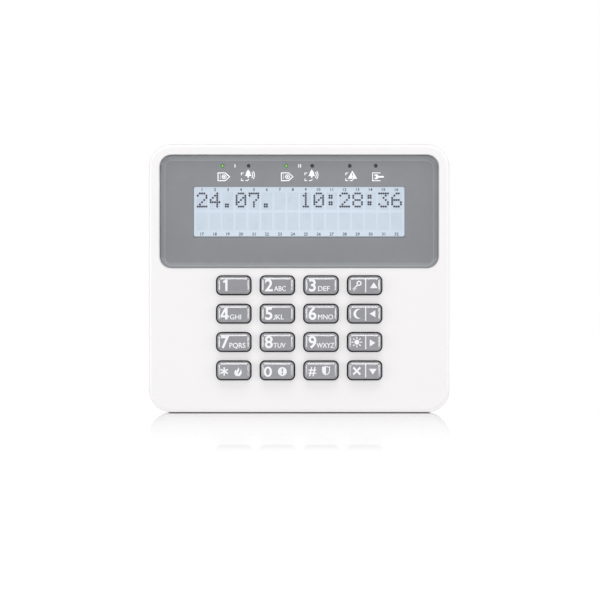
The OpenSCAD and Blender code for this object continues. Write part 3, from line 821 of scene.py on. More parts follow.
# ---- Flat shapes ----

WELD = 0.0005
LEAST_MITRE = 0.3


@dataclass(frozen=True)
class Word:
    """A short run of characters, placed by its baseline."""

    text: str
    x: float
    y: float
    height: float
    bold: float = 0.0
    centred: bool = True
    limit: float = 100.0
    curve_steps: int = 6
    lift: float = 0.0


class Lettering:
    """Turns words into thin closed meshes with a stated height of capitals."""

    def __init__(self) -> None:
        """Measures the height of a capital at size 1."""
        points, _ = self.outline("H", 0.0, 3)
        self.capital = max(p.y for p in points) - min(p.y for p in points)

    @staticmethod
    def outline(text: str, bold: float, steps: int) -> tuple[list[Vector], list[list[int]]]:
        """The characters at size 1, one unit thick.

        Args:
            text: The characters.
            bold: How far their outline is let out.
            steps: The steps in each curve.

        Returns:
            The points and the faces.
        """
        curve = bpy.data.curves.new("word", "FONT")
        curve.body = text
        curve.size = 1.0
        curve.offset = bold
        curve.extrude = 0.5
        curve.resolution_u = steps
        thing = bpy.data.objects.new("word", curve)
        bpy.context.scene.collection.objects.link(thing)
        bpy.context.view_layer.update()
        graph = bpy.context.evaluated_depsgraph_get()
        mesh = bpy.data.meshes.new_from_object(thing.evaluated_get(graph))
        points = [vertex.co.copy() for vertex in mesh.vertices]
        faces = [list(face.vertices) for face in mesh.polygons]
        bpy.data.objects.remove(thing)
        bpy.data.curves.remove(curve)
        bpy.data.meshes.remove(mesh)
        return points, faces

    def place(self, word: Word) -> tuple[list[Vector], list[list[int]]]:
        """A word at its place and height.

        Args:
            word: The word.

        Returns:
            Its points, with z from 0 to 1 through its thickness, and its faces.
        """
        points, faces = self.outline(word.text, word.bold, word.curve_steps)
        factor = word.height / self.capital
        low, high = min(p.x for p in points), max(p.x for p in points)
        start = (low + high) / 2 if word.centred else low
        across = min(factor, word.limit / (high - low))
        rise = 1.0 + word.lift
        moved = [Vector((word.x + (p.x - start) * across, word.y + p.y * factor, (p.z + 0.5) * rise))
                 for p in points]
        return moved, faces


class Artwork:
    """Flat shapes and words that become one thin solid in the panel's view."""

    def __init__(self, x: float = 0.0, y: float = 0.0) -> None:
        """Starts empty, with the place that its shapes are drawn from.

        Args:
            x, y: The place of the drawing's own origin.
        """
        self.x, self.y = x, y
        self.shapes: list[list[list[Point]]] = []
        self.words: list[Word] = []

    def area(self, *loops: Sequence[Point]) -> None:
        """Adds an outline, and the outlines of the holes in it."""
        self.shapes.append([[(self.x + px, self.y + py) for px, py in loop] for loop in loops])

    def bar(self, left: float, bottom: float, right: float, top: float) -> None:
        """Adds an upright rectangle between two corners."""
        self.area([(left, bottom), (right, bottom), (right, top), (left, top)])

    def disc(self, x: float, y: float, radius: float, *holes: Sequence[Point]) -> None:
        """Adds a disc, with the holes in it."""
        self.area(circle(x, y, radius), *holes)

    def line(self, points: Sequence[Point], width: float, closed: bool = False) -> None:
        """Adds a line of an even width with mitred corners.

        Args:
            points: The line's middle.
            width: Its width.
            closed: Whether it ends where it starts.
        """
        left, right = offset(points, width / 2, closed), offset(points, -width / 2, closed)
        if closed:
            self.area(left, right)
        else:
            self.area(left + right[::-1])

    def arc(self, x: float, y: float, radius: float, start: float, end: float, width: float) -> None:
        """Adds a part of a ring.

        Args:
            x, y: Its centre.
            radius: The radius of its middle.
            start, end: Its angles in degrees.
            width: Its width.
        """
        self.line(sweep(x, y, radius, start, end, 14), width)

    def write(self, text: str, x: float, y: float, height: float, **style: object) -> None:
        """Adds a word by its baseline."""
        self.words.append(Word(text, self.x + x, self.y + y, height, **style))

    def solid(self, name: str, low: float, high: float, lettering: Lettering) -> bpy.types.Object:
        """Makes the solid between two depths.

        Args:
            name: The piece's name.
            low, high: Its depths.
            lettering: What makes the words.

        Returns:
            The new object, with its place in its mesh.
        """
        mesh = bmesh.new()
        for loops in self.shapes:
            add_slab(mesh, loops)
        for word in self.words:
            points, faces = lettering.place(word)
            made = [mesh.verts.new(point) for point in points]
            for face in faces:
                mesh.faces.new([made[i] for i in face])
            bmesh.ops.remove_doubles(mesh, verts=made, dist=WELD)
        bmesh.ops.recalc_face_normals(mesh, faces=mesh.faces)
        for vertex in mesh.verts:
            vertex.co = to_frame(vertex.co.x, vertex.co.y, low + vertex.co.z * (high - low))
        return finish_mesh(name, mesh)


def circle(x: float, y: float, radius: float, steps: int = 36) -> list[Point]:
    """The points of a circle."""
    return [(x + radius * math.cos(math.tau * i / steps), y + radius * math.sin(math.tau * i / steps))
            for i in range(steps)]


def sweep(x: float, y: float, radius: float, start: float, end: float, steps: int) -> list[Point]:
    """The points of an arc between two angles in degrees."""
    angles = [math.radians(start + (end - start) * i / steps) for i in range(steps + 1)]
    return [(x + radius * math.cos(a), y + radius * math.sin(a)) for a in angles]


def round_box(x: float, y: float, width: float, height: float, radius: float, steps: int = 8) -> list[Point]:
    """The outline of a box with round corners.

    Args:
        x, y: Its centre.
        width, height: Its size.
        radius: The radius of its corners.
        steps: The steps in each corner.

    Returns:
        Its points, anticlockwise.
    """
    dx, dy = width / 2 - radius, height / 2 - radius
    corners = [(dx, dy, 0), (-dx, dy, 90), (-dx, -dy, 180), (dx, -dy, 270)]
    return [point for cx, cy, turn in corners
            for point in sweep(x + cx, y + cy, radius, turn, turn + 90, steps)]


def offset(points: Sequence[Point], amount: float, closed: bool) -> list[Point]:
    """A line moved sideways, with mitred corners.

    Args:
        points: The line.
        amount: How far it moves.
        closed: Whether it ends where it starts.

    Returns:
        The moved points.
    """
    count = len(points)
    moved = []
    for i, (x, y) in enumerate(points):
        before = points[(i - 1) % count] if closed or i > 0 else None
        after = points[(i + 1) % count] if closed or i < count - 1 else None
        ways = []
        if before is not None:
            ways.append(Vector((x - before[0], y - before[1])).normalized())
        if after is not None:
            ways.append(Vector((after[0] - x, after[1] - y)).normalized())
        sides = [Vector((-w.y, w.x)) for w in ways]
        middle = sum(sides, Vector((0.0, 0.0))).normalized()
        reach = amount / max(middle.dot(sides[0]), LEAST_MITRE)
        moved.append((x + middle.x * reach, y + middle.y * reach))
    return moved


def add_slab(mesh: bmesh.types.BMesh, loops: Sequence[Sequence[Point]]) -> None:
    """Adds a flat shape with holes as a closed slab, with z from 0 to 1.

    Args:
        mesh: The mesh to add it to.
        loops: Its outline, then its holes.
    """
    flat = [[Vector((x, y, 0.0)) for x, y in loop] for loop in loops]
    triangles = tessellate_polygon(flat)
    rings = []
    for loop in flat:
        rings.append([(mesh.verts.new(p), mesh.verts.new((p.x, p.y, 1.0))) for p in loop])
    pairs = [pair for ring in rings for pair in ring]
    for triangle in triangles:
        if len(set(triangle)) == 3:
            mesh.faces.new([pairs[i][0] for i in triangle])
            mesh.faces.new([pairs[i][1] for i in triangle])
    for ring in rings:
        for i, (low, high) in enumerate(ring):
            next_low, next_high = ring[(i + 1) % len(ring)]
            mesh.faces.new([low, next_low, next_high, high])


def to_frame(x: float, y: float, depth: float) -> Vector:
    """A point of the panel's view in the row frame, in metres."""
    return Vector((x * MM, -depth * MM, y * MM))


def finish_mesh(name: str, mesh: bmesh.types.BMesh) -> bpy.types.Object:
    """Turns a working mesh into an object of the scene.

    Args:
        name: The object's name.
        mesh: The working mesh, which is freed.

    Returns:
        The new object.
    """
    data = bpy.data.meshes.new(name)
    mesh.to_mesh(data)
    mesh.free()
    thing = bpy.data.objects.new(name, data)
    bpy.context.scene.collection.objects.link(thing)
    return thing


def settle(thing: bpy.types.Object, material: bpy.types.Material, body: str) -> None:
    """Paints a piece, sets it on its body and reports it.

    Args:
        thing: The piece, in its place.
        material: Its material.
        body: The body it rides on.
    """
    thing.data.materials.append(material)
    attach(thing, body)
    log.info("%s rides on %s with %d faces", thing.name, body, len(thing.data.polygons))


# ---- The panel's own pieces ----

LAMP_XS = (-35.4, -23.4, -6.0, 6.0, 23.4, 35.4)
LAMP_Y = 52.0


@dataclass
class FrameFinishes:
    """Gives every node of the frame the finish of its material slot."""

    shop: Paintshop

    def build(self) -> None:
        """Dresses the nodes in the record's order."""
        for part in frame["record"]["subparts"]:
            self.shop.dress_node(part["node"], SLOT_FINISHES[part["material_slot"]])


@dataclass
class Window:
    """The print behind the window: grey field, darker rim, pictograms and their numerals, with a painted
    shadow line, a painted glint and a painted glow on the pictograms.
    """

    shop: Paintshop
    lettering: Lettering
    centre_y: float = 30.8
    width: float = 128.8
    height: float = 52.2
    radius: float = 5.5
    rim: float = 2.0
    view: tuple[float, float] = (97.4, 22.9)
    view_radius: float = 0.6
    frame_radius: float = 0.75
    frame_side: float = 0.25
    frame_below: float = 0.45
    frame_above: float = 0.12
    border: float = 0.4
    glint_inset: tuple[float, float] = (4.6, 3.5)
    glint_radius: float = 3.5
    glint_drop: float = 0.55
    glint_width: float = 0.4
    back: float = 18.8
    ink: float = 0.015
    light_radius: float = 0.9
    icon_y: float = 46.95
    tag_xs: tuple[float, ...] = (-34.8, -5.5)
    bell_xs: tuple[float, ...] = (-23.6, 5.8)
    warning_x: float = 24.0
    spanner_x: float = 36.4
    numeral_xs: tuple[float, ...] = (-29.7, -0.2, 0.65)
    numeral: tuple[float, float] = (0.2, 0.8)

    def build(self) -> None:
        """Builds the print and the marks on it."""
        y, wide, high, radius = self.centre_y, self.width, self.height, self.radius
        inner = round_box(0, y, wide - 2 * self.rim, high - 2 * self.rim, radius - self.rim)
        lights = [circle(x, LAMP_Y, self.light_radius, 24) for x in LAMP_XS]
        field, rim = Artwork(), Artwork()
        field.area(inner, round_box(0, y, *self.view, self.view_radius, 3), *lights)
        rim.area(round_box(0, y, wide, high, radius), inner)
        # Painted shadow: a dark line round the display opening, wider below it, and round the window's edge,
        # where the gaps would fall into shade.
        line = Artwork(0.0, y)
        right = self.view[0] / 2 + self.frame_side
        low, top = -self.view[1] / 2 - self.frame_below, self.view[1] / 2 + self.frame_above
        line.area([(-right, low), (right, low), (right, top), (-right, top)],
                  round_box(0, 0, *self.view, self.frame_radius, 5))
        line.area(round_box(0, 0, wide, high, radius),
                  round_box(0, 0, wide - 2 * self.border, high - 2 * self.border, radius - self.border))
        # Painted highlight: a pale line a little inside the window's edge, where the lens's rounded edge
        # would catch the light.
        glint = Artwork(0.0, y - self.glint_drop)
        glint.line(round_box(0, 0, wide - self.glint_inset[0], high - self.glint_inset[1], self.glint_radius),
                   self.glint_width, closed=True)
        self.lay(field, "window_ink", 0, FIELD)
        self.lay(rim, "window_ink_rim", 0, FIELD_EDGE)
        self.lay(line, "window_painted_shadow_line", 1, FIELD_PAINTED_SHADOW)
        self.lay(glint, "window_painted_glint", 1, FIELD_PAINTED_GLINT)
        # The pictograms' print carries a painted glow.
        self.lay(self.pictograms(), "window_pictograms", 1, WINDOW_PRINT_PAINTED_GLOW)

    def lay(self, art: Artwork, name: str, layer: int, ink: Ink) -> None:
        """Makes one print of the window.

        Args:
            art: Its shapes.
            name: The piece's name.
            layer: How many prints lie under it.
            ink: Its finish.
        """
        low, top = self.back + layer * self.ink, self.back + (layer + 1) * self.ink
        settle(art.solid(name, low, top, self.lettering), self.shop.get(ink), "front")

    def pictograms(self) -> Artwork:
        """Draws the white pictograms and the numerals of the two areas."""
        art = Artwork()
        signs = [(x, self.tag) for x in self.tag_xs] + [(x, self.bell) for x in self.bell_xs]
        for x, draw in signs + [(self.warning_x, self.warning), (self.spanner_x, self.spanner)]:
            art.x, art.y = x, self.icon_y
            draw(art)
        art.x, art.y = 0.0, LAMP_Y
        half, reach = self.numeral
        for x in self.numeral_xs:
            art.bar(x - half, -reach, x + half, reach)
        return art

    @staticmethod
    def tag(art: Artwork) -> None:
        """A tag that points right, with a disc in a ring."""
        art.line([(-2.75, -1.8), (0.6, -1.8), (2.6, 0), (0.6, 1.8), (-2.75, 1.8)], 0.42, closed=True)
        art.disc(0.1, 0, 1.1, circle(0.1, 0, 0.72, 24)[::-1])
        art.disc(0.1, 0, 0.42)
        for y in (-0.9, -0.3, 0.3, 0.9):
            art.bar(-1.85, y - 0.14, -1.5, y + 0.14)

    @staticmethod
    def corners(art: Artwork, x: float, y: float, half: float = 1.75, width: float = 0.36) -> None:
        """The broken sides of a small square, behind a sign."""
        arm = half * 0.6
        art.line([(x - half, y + half - arm), (x - half, y + half), (x - half + arm, y + half)], width)
        art.line([(x - half, y - half + arm), (x - half, y - half), (x - half + arm, y - half)], width)
        art.line([(x + 0.2, y - half), (x + arm, y - half), (x + half, y - half + arm * 0.6)], width)

    def bell(self, art: Artwork) -> None:
        """A bell with two waves of sound, over the corners of a square."""
        self.corners(art, -1.4, 0.0)
        art.area(sweep(0.0, 2.0, 0.85, 10, 170, 10) + [(-1.1, 1.0), (-1.65, 0.35), (1.65, 0.35), (1.1, 1.0)])
        art.disc(0.0, 3.05, 0.26)
        art.disc(0.0, -0.05, 0.4)
        art.arc(0.0, 0.8, 2.1, -38, 38, 0.36)
        art.arc(0.0, 0.8, 2.9, -38, 38, 0.36)

    def warning(self, art: Artwork) -> None:
        """A triangle with a mark cut out of it, over the corners of a square."""
        self.corners(art, -0.7, 0.0)
        outline = [(-1.6, -0.9), (2.8, -0.9), (0.6, 2.85)]
        stem = [(0.36, 1.7), (0.84, 1.7), (0.75, 0.3), (0.45, 0.3)]
        art.area(outline, stem, circle(0.6, -0.3, 0.26, 14))

    @staticmethod
    def spanner(art: Artwork) -> None:
        """A spanner that reaches into an open square."""
        art.line([(1.2, 1.8), (-2.45, 1.8), (-2.45, -1.8), (1.2, -1.8)], 0.38)
        upper = sweep(-0.8, 0.0, 1.15, 20, 155, 10)
        jaw = sweep(-0.8, 0.0, 1.15, 205, 340, 10)
        art.area(jaw + [(2.75, -0.38), (2.75, 0.38)] + upper + [(-1.0, 0.45), (-1.0, -0.45)])


class Digit(Enum):
    """The rows of each character that the display shows, top row first, a bit for each dot."""

    ZERO = ("0", (14, 17, 19, 21, 25, 17, 14))
    ONE = ("1", (4, 12, 4, 4, 4, 4, 14))
    TWO = ("2", (14, 17, 1, 2, 4, 8, 31))
    THREE = ("3", (31, 2, 4, 2, 1, 17, 14))
    FOUR = ("4", (2, 6, 10, 18, 31, 2, 2))
    FIVE = ("5", (31, 16, 30, 1, 1, 17, 14))
    SIX = ("6", (6, 8, 16, 30, 17, 17, 14))
    SEVEN = ("7", (31, 17, 1, 2, 4, 4, 4))
    EIGHT = ("8", (14, 17, 17, 14, 17, 17, 14))
    NINE = ("9", (14, 17, 17, 15, 1, 2, 12))
    COLON = (":", (0, 12, 12, 0, 12, 12, 0))
    STOP = (".", (0, 0, 0, 0, 0, 12, 12))
    BLANK = (" ", (0, 0, 0, 0, 0, 0, 0))


@dataclass
class Display:
    """The picture on the display glass: two rows of dot characters and the numbers printed over it."""

    shop: Paintshop
    lettering: Lettering
    columns: int = 16
    rows: int = 2
    cell_width: int = 5
    left: float = -47.44
    top: float = 39.73
    pitch: float = 6.004
    row_pitch: float = 9.4
    dot_pitch: float = 1.012
    dot: float = 0.86
    face: float = 17.1
    skin: float = 0.01
    message: str = "24.07.  10:28:36"
    number_height: float = 1.35
    number_bold: float = 0.02
    number_tops: tuple[float, float] = (40.42, 19.82)

    def build(self) -> None:
        """Builds the dark dots, the faint dots and the numbers."""
        glyphs = {digit.value[0]: digit.value[1] for digit in Digit}
        text = self.message.ljust(self.rows * self.columns)
        dark, faint = [], []
        numbers = Artwork()
        for index, letter in enumerate(text):
            row, column = divmod(index, self.columns)
            for line, bits in enumerate((*glyphs[letter], 0)):
                for place in range(self.cell_width):
                    lit = bits >> (self.cell_width - 1 - place) & 1
                    (dark if lit else faint).append(self.corner(column, row, place, line))
            x = self.left + column * self.pitch + 2 * self.dot_pitch + self.dot / 2
            numbers.write(str(index + 1), x, self.number_tops[row], self.number_height,
                          bold=self.number_bold, curve_steps=2)
        top = self.face + self.skin
        made = ((self.dots("display_dots", dark, 2 * self.skin), DOT_ON),
                (self.dots("display_cells", faint, self.skin), DOT_OFF),
                (numbers.solid("display_numbers", self.face, top, self.lettering), SMALL_PRINT))
        for thing, ink in made:
            settle(thing, self.shop.get(ink), "front")

    def corner(self, column: int, row: int, place: int, line: int) -> Point:
        """The upper left corner of one dot."""
        return (self.left + column * self.pitch + place * self.dot_pitch,
                self.top - row * self.row_pitch - line * self.dot_pitch)

    def dots(self, name: str, corners: Sequence[Point], thickness: float) -> bpy.types.Object:
        """Makes many square dots as one piece.

        Args:
            name: The piece's name.
            corners: Each dot's upper left corner.
            thickness: How far they stand off the glass.

        Returns:
            The new object.
        """
        mesh = bmesh.new()
        for x, y in corners:
            add_slab(mesh, [[(x, y - self.dot), (x + self.dot, y - self.dot), (x + self.dot, y), (x, y)]])
        bmesh.ops.recalc_face_normals(mesh, faces=mesh.faces)
        for vertex in mesh.verts:
            vertex.co = to_frame(vertex.co.x, vertex.co.y, self.face + vertex.co.z * thickness)
        return finish_mesh(name, mesh)


class Lamp(Enum):
    """Whether a status lamp is lit."""

    LIT = LAMP_LIT
    # The dark lamp's middle glows faintly: a painted glint.
    DARK = LAMP_DARK_PAINTED_GLINT


@dataclass
class StatusLamps:
    """The six round lamp faces that look through the holes of the window print."""

    shop: Paintshop
    states: tuple[Lamp, ...] = (Lamp.LIT, Lamp.DARK, Lamp.LIT, Lamp.DARK, Lamp.DARK, Lamp.DARK)
    radius: float = 0.86
    back: float = 18.71
    rise: float = 0.07
    rings: int = 5
    steps: int = 28

    def build(self) -> None:
        """Builds the lamps from left to right."""
        for number, (x, state) in enumerate(zip(LAMP_XS, self.states), start=1):
            thing = self.face(f"status_lamp_{number}")
            thing.location = to_frame(x, LAMP_Y, self.back)
            settle(thing, self.shop.get(state.value), "front")

    def face(self, name: str) -> bpy.types.Object:
        """A shallow dome with its centre at the origin.

        Args:
            name: The piece's name.

        Returns:
            The new object.
        """
        mesh = bmesh.new()
        tip = mesh.verts.new(to_frame(0.0, 0.0, self.rise))
        hoops = []
        for ring in range(1, self.rings + 1):
            lean = 0.5 * math.pi * ring / self.rings
            hoops.append([mesh.verts.new(to_frame(x, y, self.rise * math.cos(lean)))
                          for x, y in circle(0.0, 0.0, self.radius * math.sin(lean), self.steps)])
        for i in range(self.steps):
            after = (i + 1) % self.steps
            mesh.faces.new([tip, hoops[0][i], hoops[0][after]])
            for inner, outer in zip(hoops, hoops[1:]):
                mesh.faces.new([inner[i], outer[i], outer[after], inner[after]])
        mesh.faces.new(hoops[-1])
        bmesh.ops.recalc_face_normals(mesh, faces=mesh.faces)
        thing = finish_mesh(name, mesh)
        for face in thing.data.polygons:
            face.use_smooth = len(face.vertices) <= 4
        return thing


@dataclass
class Legends:
    """The white legends on the sixteen keys."""

    shop: Paintshop
    lettering: Lettering
    pitch: tuple[float, float] = (20.15, 13.1)
    centre_y: float = -22.95
    top: float = 22.0
    ink: float = 0.015
    digit: float = 5.3
    digit_x: float = -3.95
    digit_bold: float = 0.022
    letters: float = 2.2
    letters_up: float = 0.05
    base: float = -2.6
    overprint: tuple[float, float] = (0.055, 0.03)
    overprint_lift: float = 0.1
    hook_width: float = 0.42
    divider: tuple[float, float, float, float] = (0.2, -3.2, 0.7, 3.2)
    rows: tuple[tuple[str, ...], ...] = (("1", "2", "3", "up"), ("4", "5", "6", "left"),
                                         ("7", "8", "9", "right"), ("star", "0", "hash", "down"))
    words: tuple[tuple[str, str, float, float], ...] = (
        ("2", "ABC", -1.5, 5.4), ("3", "DEF", -1.3, 5.2), ("4", "GHI", -1.75, 5.4),
        ("5", "JKL", -1.6, 3.5), ("6", "MNO", -1.35, 6.9), ("7", "PQRS", -1.95, 7.3),
        ("8", "TUV", -1.75, 5.5), ("9", "WXYZ", -2.05, 8.1))

    def build(self) -> None:
        """Builds one print for each key, on the body of that key."""
        words = {key: rest for key, *rest in self.words}
        middle = (len(self.rows) - 1) / 2
        for row, keys in enumerate(self.rows):
            for column, key in enumerate(keys):
                art = Artwork((column - middle) * self.pitch[0],
                              self.centre_y + (middle - row) * self.pitch[1])
                draw = getattr(self, "draw_" + key, None)
                if draw:
                    draw(art)
                else:
                    art.write(key, self.digit_x, self.base, self.digit, bold=self.digit_bold)
                if key in words:
                    self.name_letters(art, *words[key])
                if key == keys[-1]:
                    art.bar(*self.divider)
                settle(art.solid(f"legend_{key}", self.top, self.top + self.ink, self.lettering),
                       self.shop.get(WHITE_PRINT), "button_" + key)

    def name_letters(self, art: Artwork, word: str, start: float, width: float) -> None:
        """Prints a key's letters twice, a hair apart, which makes their strokes bolder.

        Args:
            art: The key's print.
            word: The letters.
            start: Where they start.
            width: The width they may take.
        """
        if word.startswith("J"):
            hook = sweep(start + 0.12, self.base + 0.55, 0.45, 300, 360, 5)
            tail, stem = (start - 0.35, self.base + 0.12), (start + 0.57, self.base + self.letters)
            art.line([tail, *hook, stem], self.hook_width)
            word, start = word[1:], start + 1.15
        for side in (-1, 1):
            x = start + side * self.overprint[0]
            y = self.base + self.letters_up + side * self.overprint[1]
            art.write(word, x, y, self.letters, centred=False, limit=width, curve_steps=4,
                      lift=self.overprint_lift * (side + 1))

    def draw_1(self, art: Artwork) -> None:
        """The digit, drawn with its flag."""
        top = self.base + self.digit
        art.area([(-2.85, top), (-3.65, top), (-5.05, top - 0.75), (-4.7, top - 1.6), (-3.9, top - 1.2),
                  (-3.9, self.base), (-2.85, self.base)])

    def draw_4(self, art: Artwork) -> None:
        """The digit, drawn with its open triangle."""
        base, top = self.base, self.base + self.digit
        low, high = base + 0.95, base + 1.85
        left, right, foot, tip = -4.0, -2.85, -2.2, -6.1
        hole = [(left, high), (left, top - 1.7), (-5.1, high)]
        art.area([(right, base), (right, low), (foot, low), (foot, high), (right, high), (right, top),
                  (left - 0.2, top), (tip, high - 0.1), (tip, low), (left, low), (left, base)], hole)

    @staticmethod
    def draw_up(art: Artwork) -> None:
        """A key, and an arrow up."""
        art.disc(-2.6, 0.95, 1.2, circle(-2.6, 0.95, 0.6, 24))
        art.line([(-3.4, 0.15), (-5.5, -1.95)], 0.62)
        art.line([(-4.6, -1.05), (-3.95, -1.7)], 0.5)
        art.line([(-5.3, -1.75), (-4.65, -2.4)], 0.5)
        art.area([(2.4, -1.3), (6.0, -1.3), (4.2, 1.45)])

    @staticmethod
    def draw_left(art: Artwork) -> None:
        """A moon, and an arrow to the left."""
        outer = sweep(-2.9, 0.0, 2.3, 60, 300, 24)
        inner = sweep(-2.0, 0.0, 2.0, 277, 83, 18)[1:-1]
        art.area(outer + inner)
        art.area([(2.2, 0.0), (4.95, 1.6), (4.95, -1.6)][::-1])

    @staticmethod
    def draw_right(art: Artwork) -> None:
        """A sun, and an arrow to the right."""
        x, rays = -3.6, 8
        art.disc(x, 0.0, 1.15)
        for near, far in zip(circle(x, 0.0, 1.55, rays), circle(x, 0.0, 2.4, rays)):
            art.line([near, far], 0.5)
        art.area([(2.35, -2.0), (4.95, -0.35), (2.35, 1.3)])

    @staticmethod
    def draw_down(art: Artwork) -> None:
        """A cross, and an arrow down."""
        a, b = 1.95, 0.65
        cross = [(0, b), (a - b, a), (a, a - b), (b, 0), (a, b - a), (a - b, -a), (0, -b), (b - a, -a),
                 (-a, b - a), (-b, 0), (-a, a - b), (b - a, a)]
        art.area([(x - 3.65, y - 0.2) for x, y in cross][::-1])
        art.area([(1.95, 0.8), (3.75, -1.85), (5.55, 0.8)][::-1])

    @staticmethod
    def draw_star(art: Artwork) -> None:
        """A star of six arms, and a flame."""
        x, y, arm, core, half = -4.4, -0.4, 1.95, 0.68, 0.34
        arms = []
        for i in range(6):
            turn = math.radians(90 + 60 * i)
            across, up = math.cos(turn), math.sin(turn)
            arms += [(x + arm * across - side * up, y + arm * up + side * across) for side in (-half, half)]
            notch = turn + math.radians(30)
            arms.append((x + core * math.cos(notch), y + core * math.sin(notch)))
        art.area(arms)
        art.area([(2.0, -2.6), (2.9, -2.4), (3.5, -1.8), (3.75, -0.95), (3.6, -0.05), (3.25, 0.8),
                  (3.15, 0.0), (2.9, -0.6), (2.5, -1.15), (1.9, -1.7), (1.9, -1.2), (2.25, -0.6),
                  (2.5, 0.05), (2.55, 0.75), (2.15, 1.7), (2.0, 0.9), (1.55, 0.35), (1.1, -0.2),
                  (0.95, 0.4), (0.55, 0.0), (0.3, -0.85), (0.35, -1.65), (0.75, -2.25), (1.35, -2.55)])

    @staticmethod
    def draw_0(art: Artwork) -> None:
        """The digit, and a mark cut out of a disc."""
        outer, inner = ([(-4.38 + narrow * x, -0.54 + y) for x, y in circle(0.0, 0.0, high)]
                        for narrow, high in ((0.8, 2.4), (0.53, 1.55)))
        art.area(outer, inner[::-1])
        stem = [(1.92, 0.9), (2.68, 0.9), (2.54, -0.8), (2.06, -0.8)]
        art.disc(2.3, -0.45, 2.05, stem[::-1], circle(2.3, -1.5, 0.4, 16)[::-1])

    @staticmethod
    def draw_hash(art: Artwork) -> None:
        """A hash sign, and a shield with one half open."""
        art.write("#", -4.0, -2.05, 3.95, bold=0.015)
        art.area([(1.4, 1.8), (0.45, 1.7), (0.45, 0.4), (0.6, -0.9), (1.2, -1.7), (2.3, -2.3), (2.3, 2.2)])
        art.line([(2.5, 1.95), (3.2, 1.65), (3.95, 1.55), (3.95, 0.3), (3.8, -0.75), (3.3, -1.45),
                  (2.5, -1.95)], 0.42)


# ---- Studio ----


class Side(Enum):
    """Where a lamp stands, as a direction from the panel."""

    FRONT = Vector((-0.15, -0.9, 0.8))
    TOP = Vector((0.0, -0.26, 0.97))
    LEFT = Vector((-0.97, -0.26, 0.0))
    RIGHT = Vector((0.97, -0.26, 0.0))


@dataclass(frozen=True)
class Softbox:
    """A rectangular lamp that faces the panel."""

    name: str
    side: Side
    distance: float
    width: float
    height: float
    radiance: float

    def build(self) -> None:
        """Adds the lamp, with the power that its radiance and area need."""
        data = bpy.data.lights.new(self.name, "AREA")
        data.shape = "RECTANGLE"
        data.size, data.size_y = self.width, self.height
        data.energy = self.radiance * math.pi * self.width * self.height
        lamp = bpy.data.objects.new(self.name, data)
        way = self.side.value.normalized()
        lamp.location = way * self.distance
        lamp.rotation_euler = way.to_track_quat("Z", "Y").to_euler()
        lamp.visible_camera = False
        bpy.context.scene.collection.objects.link(lamp)


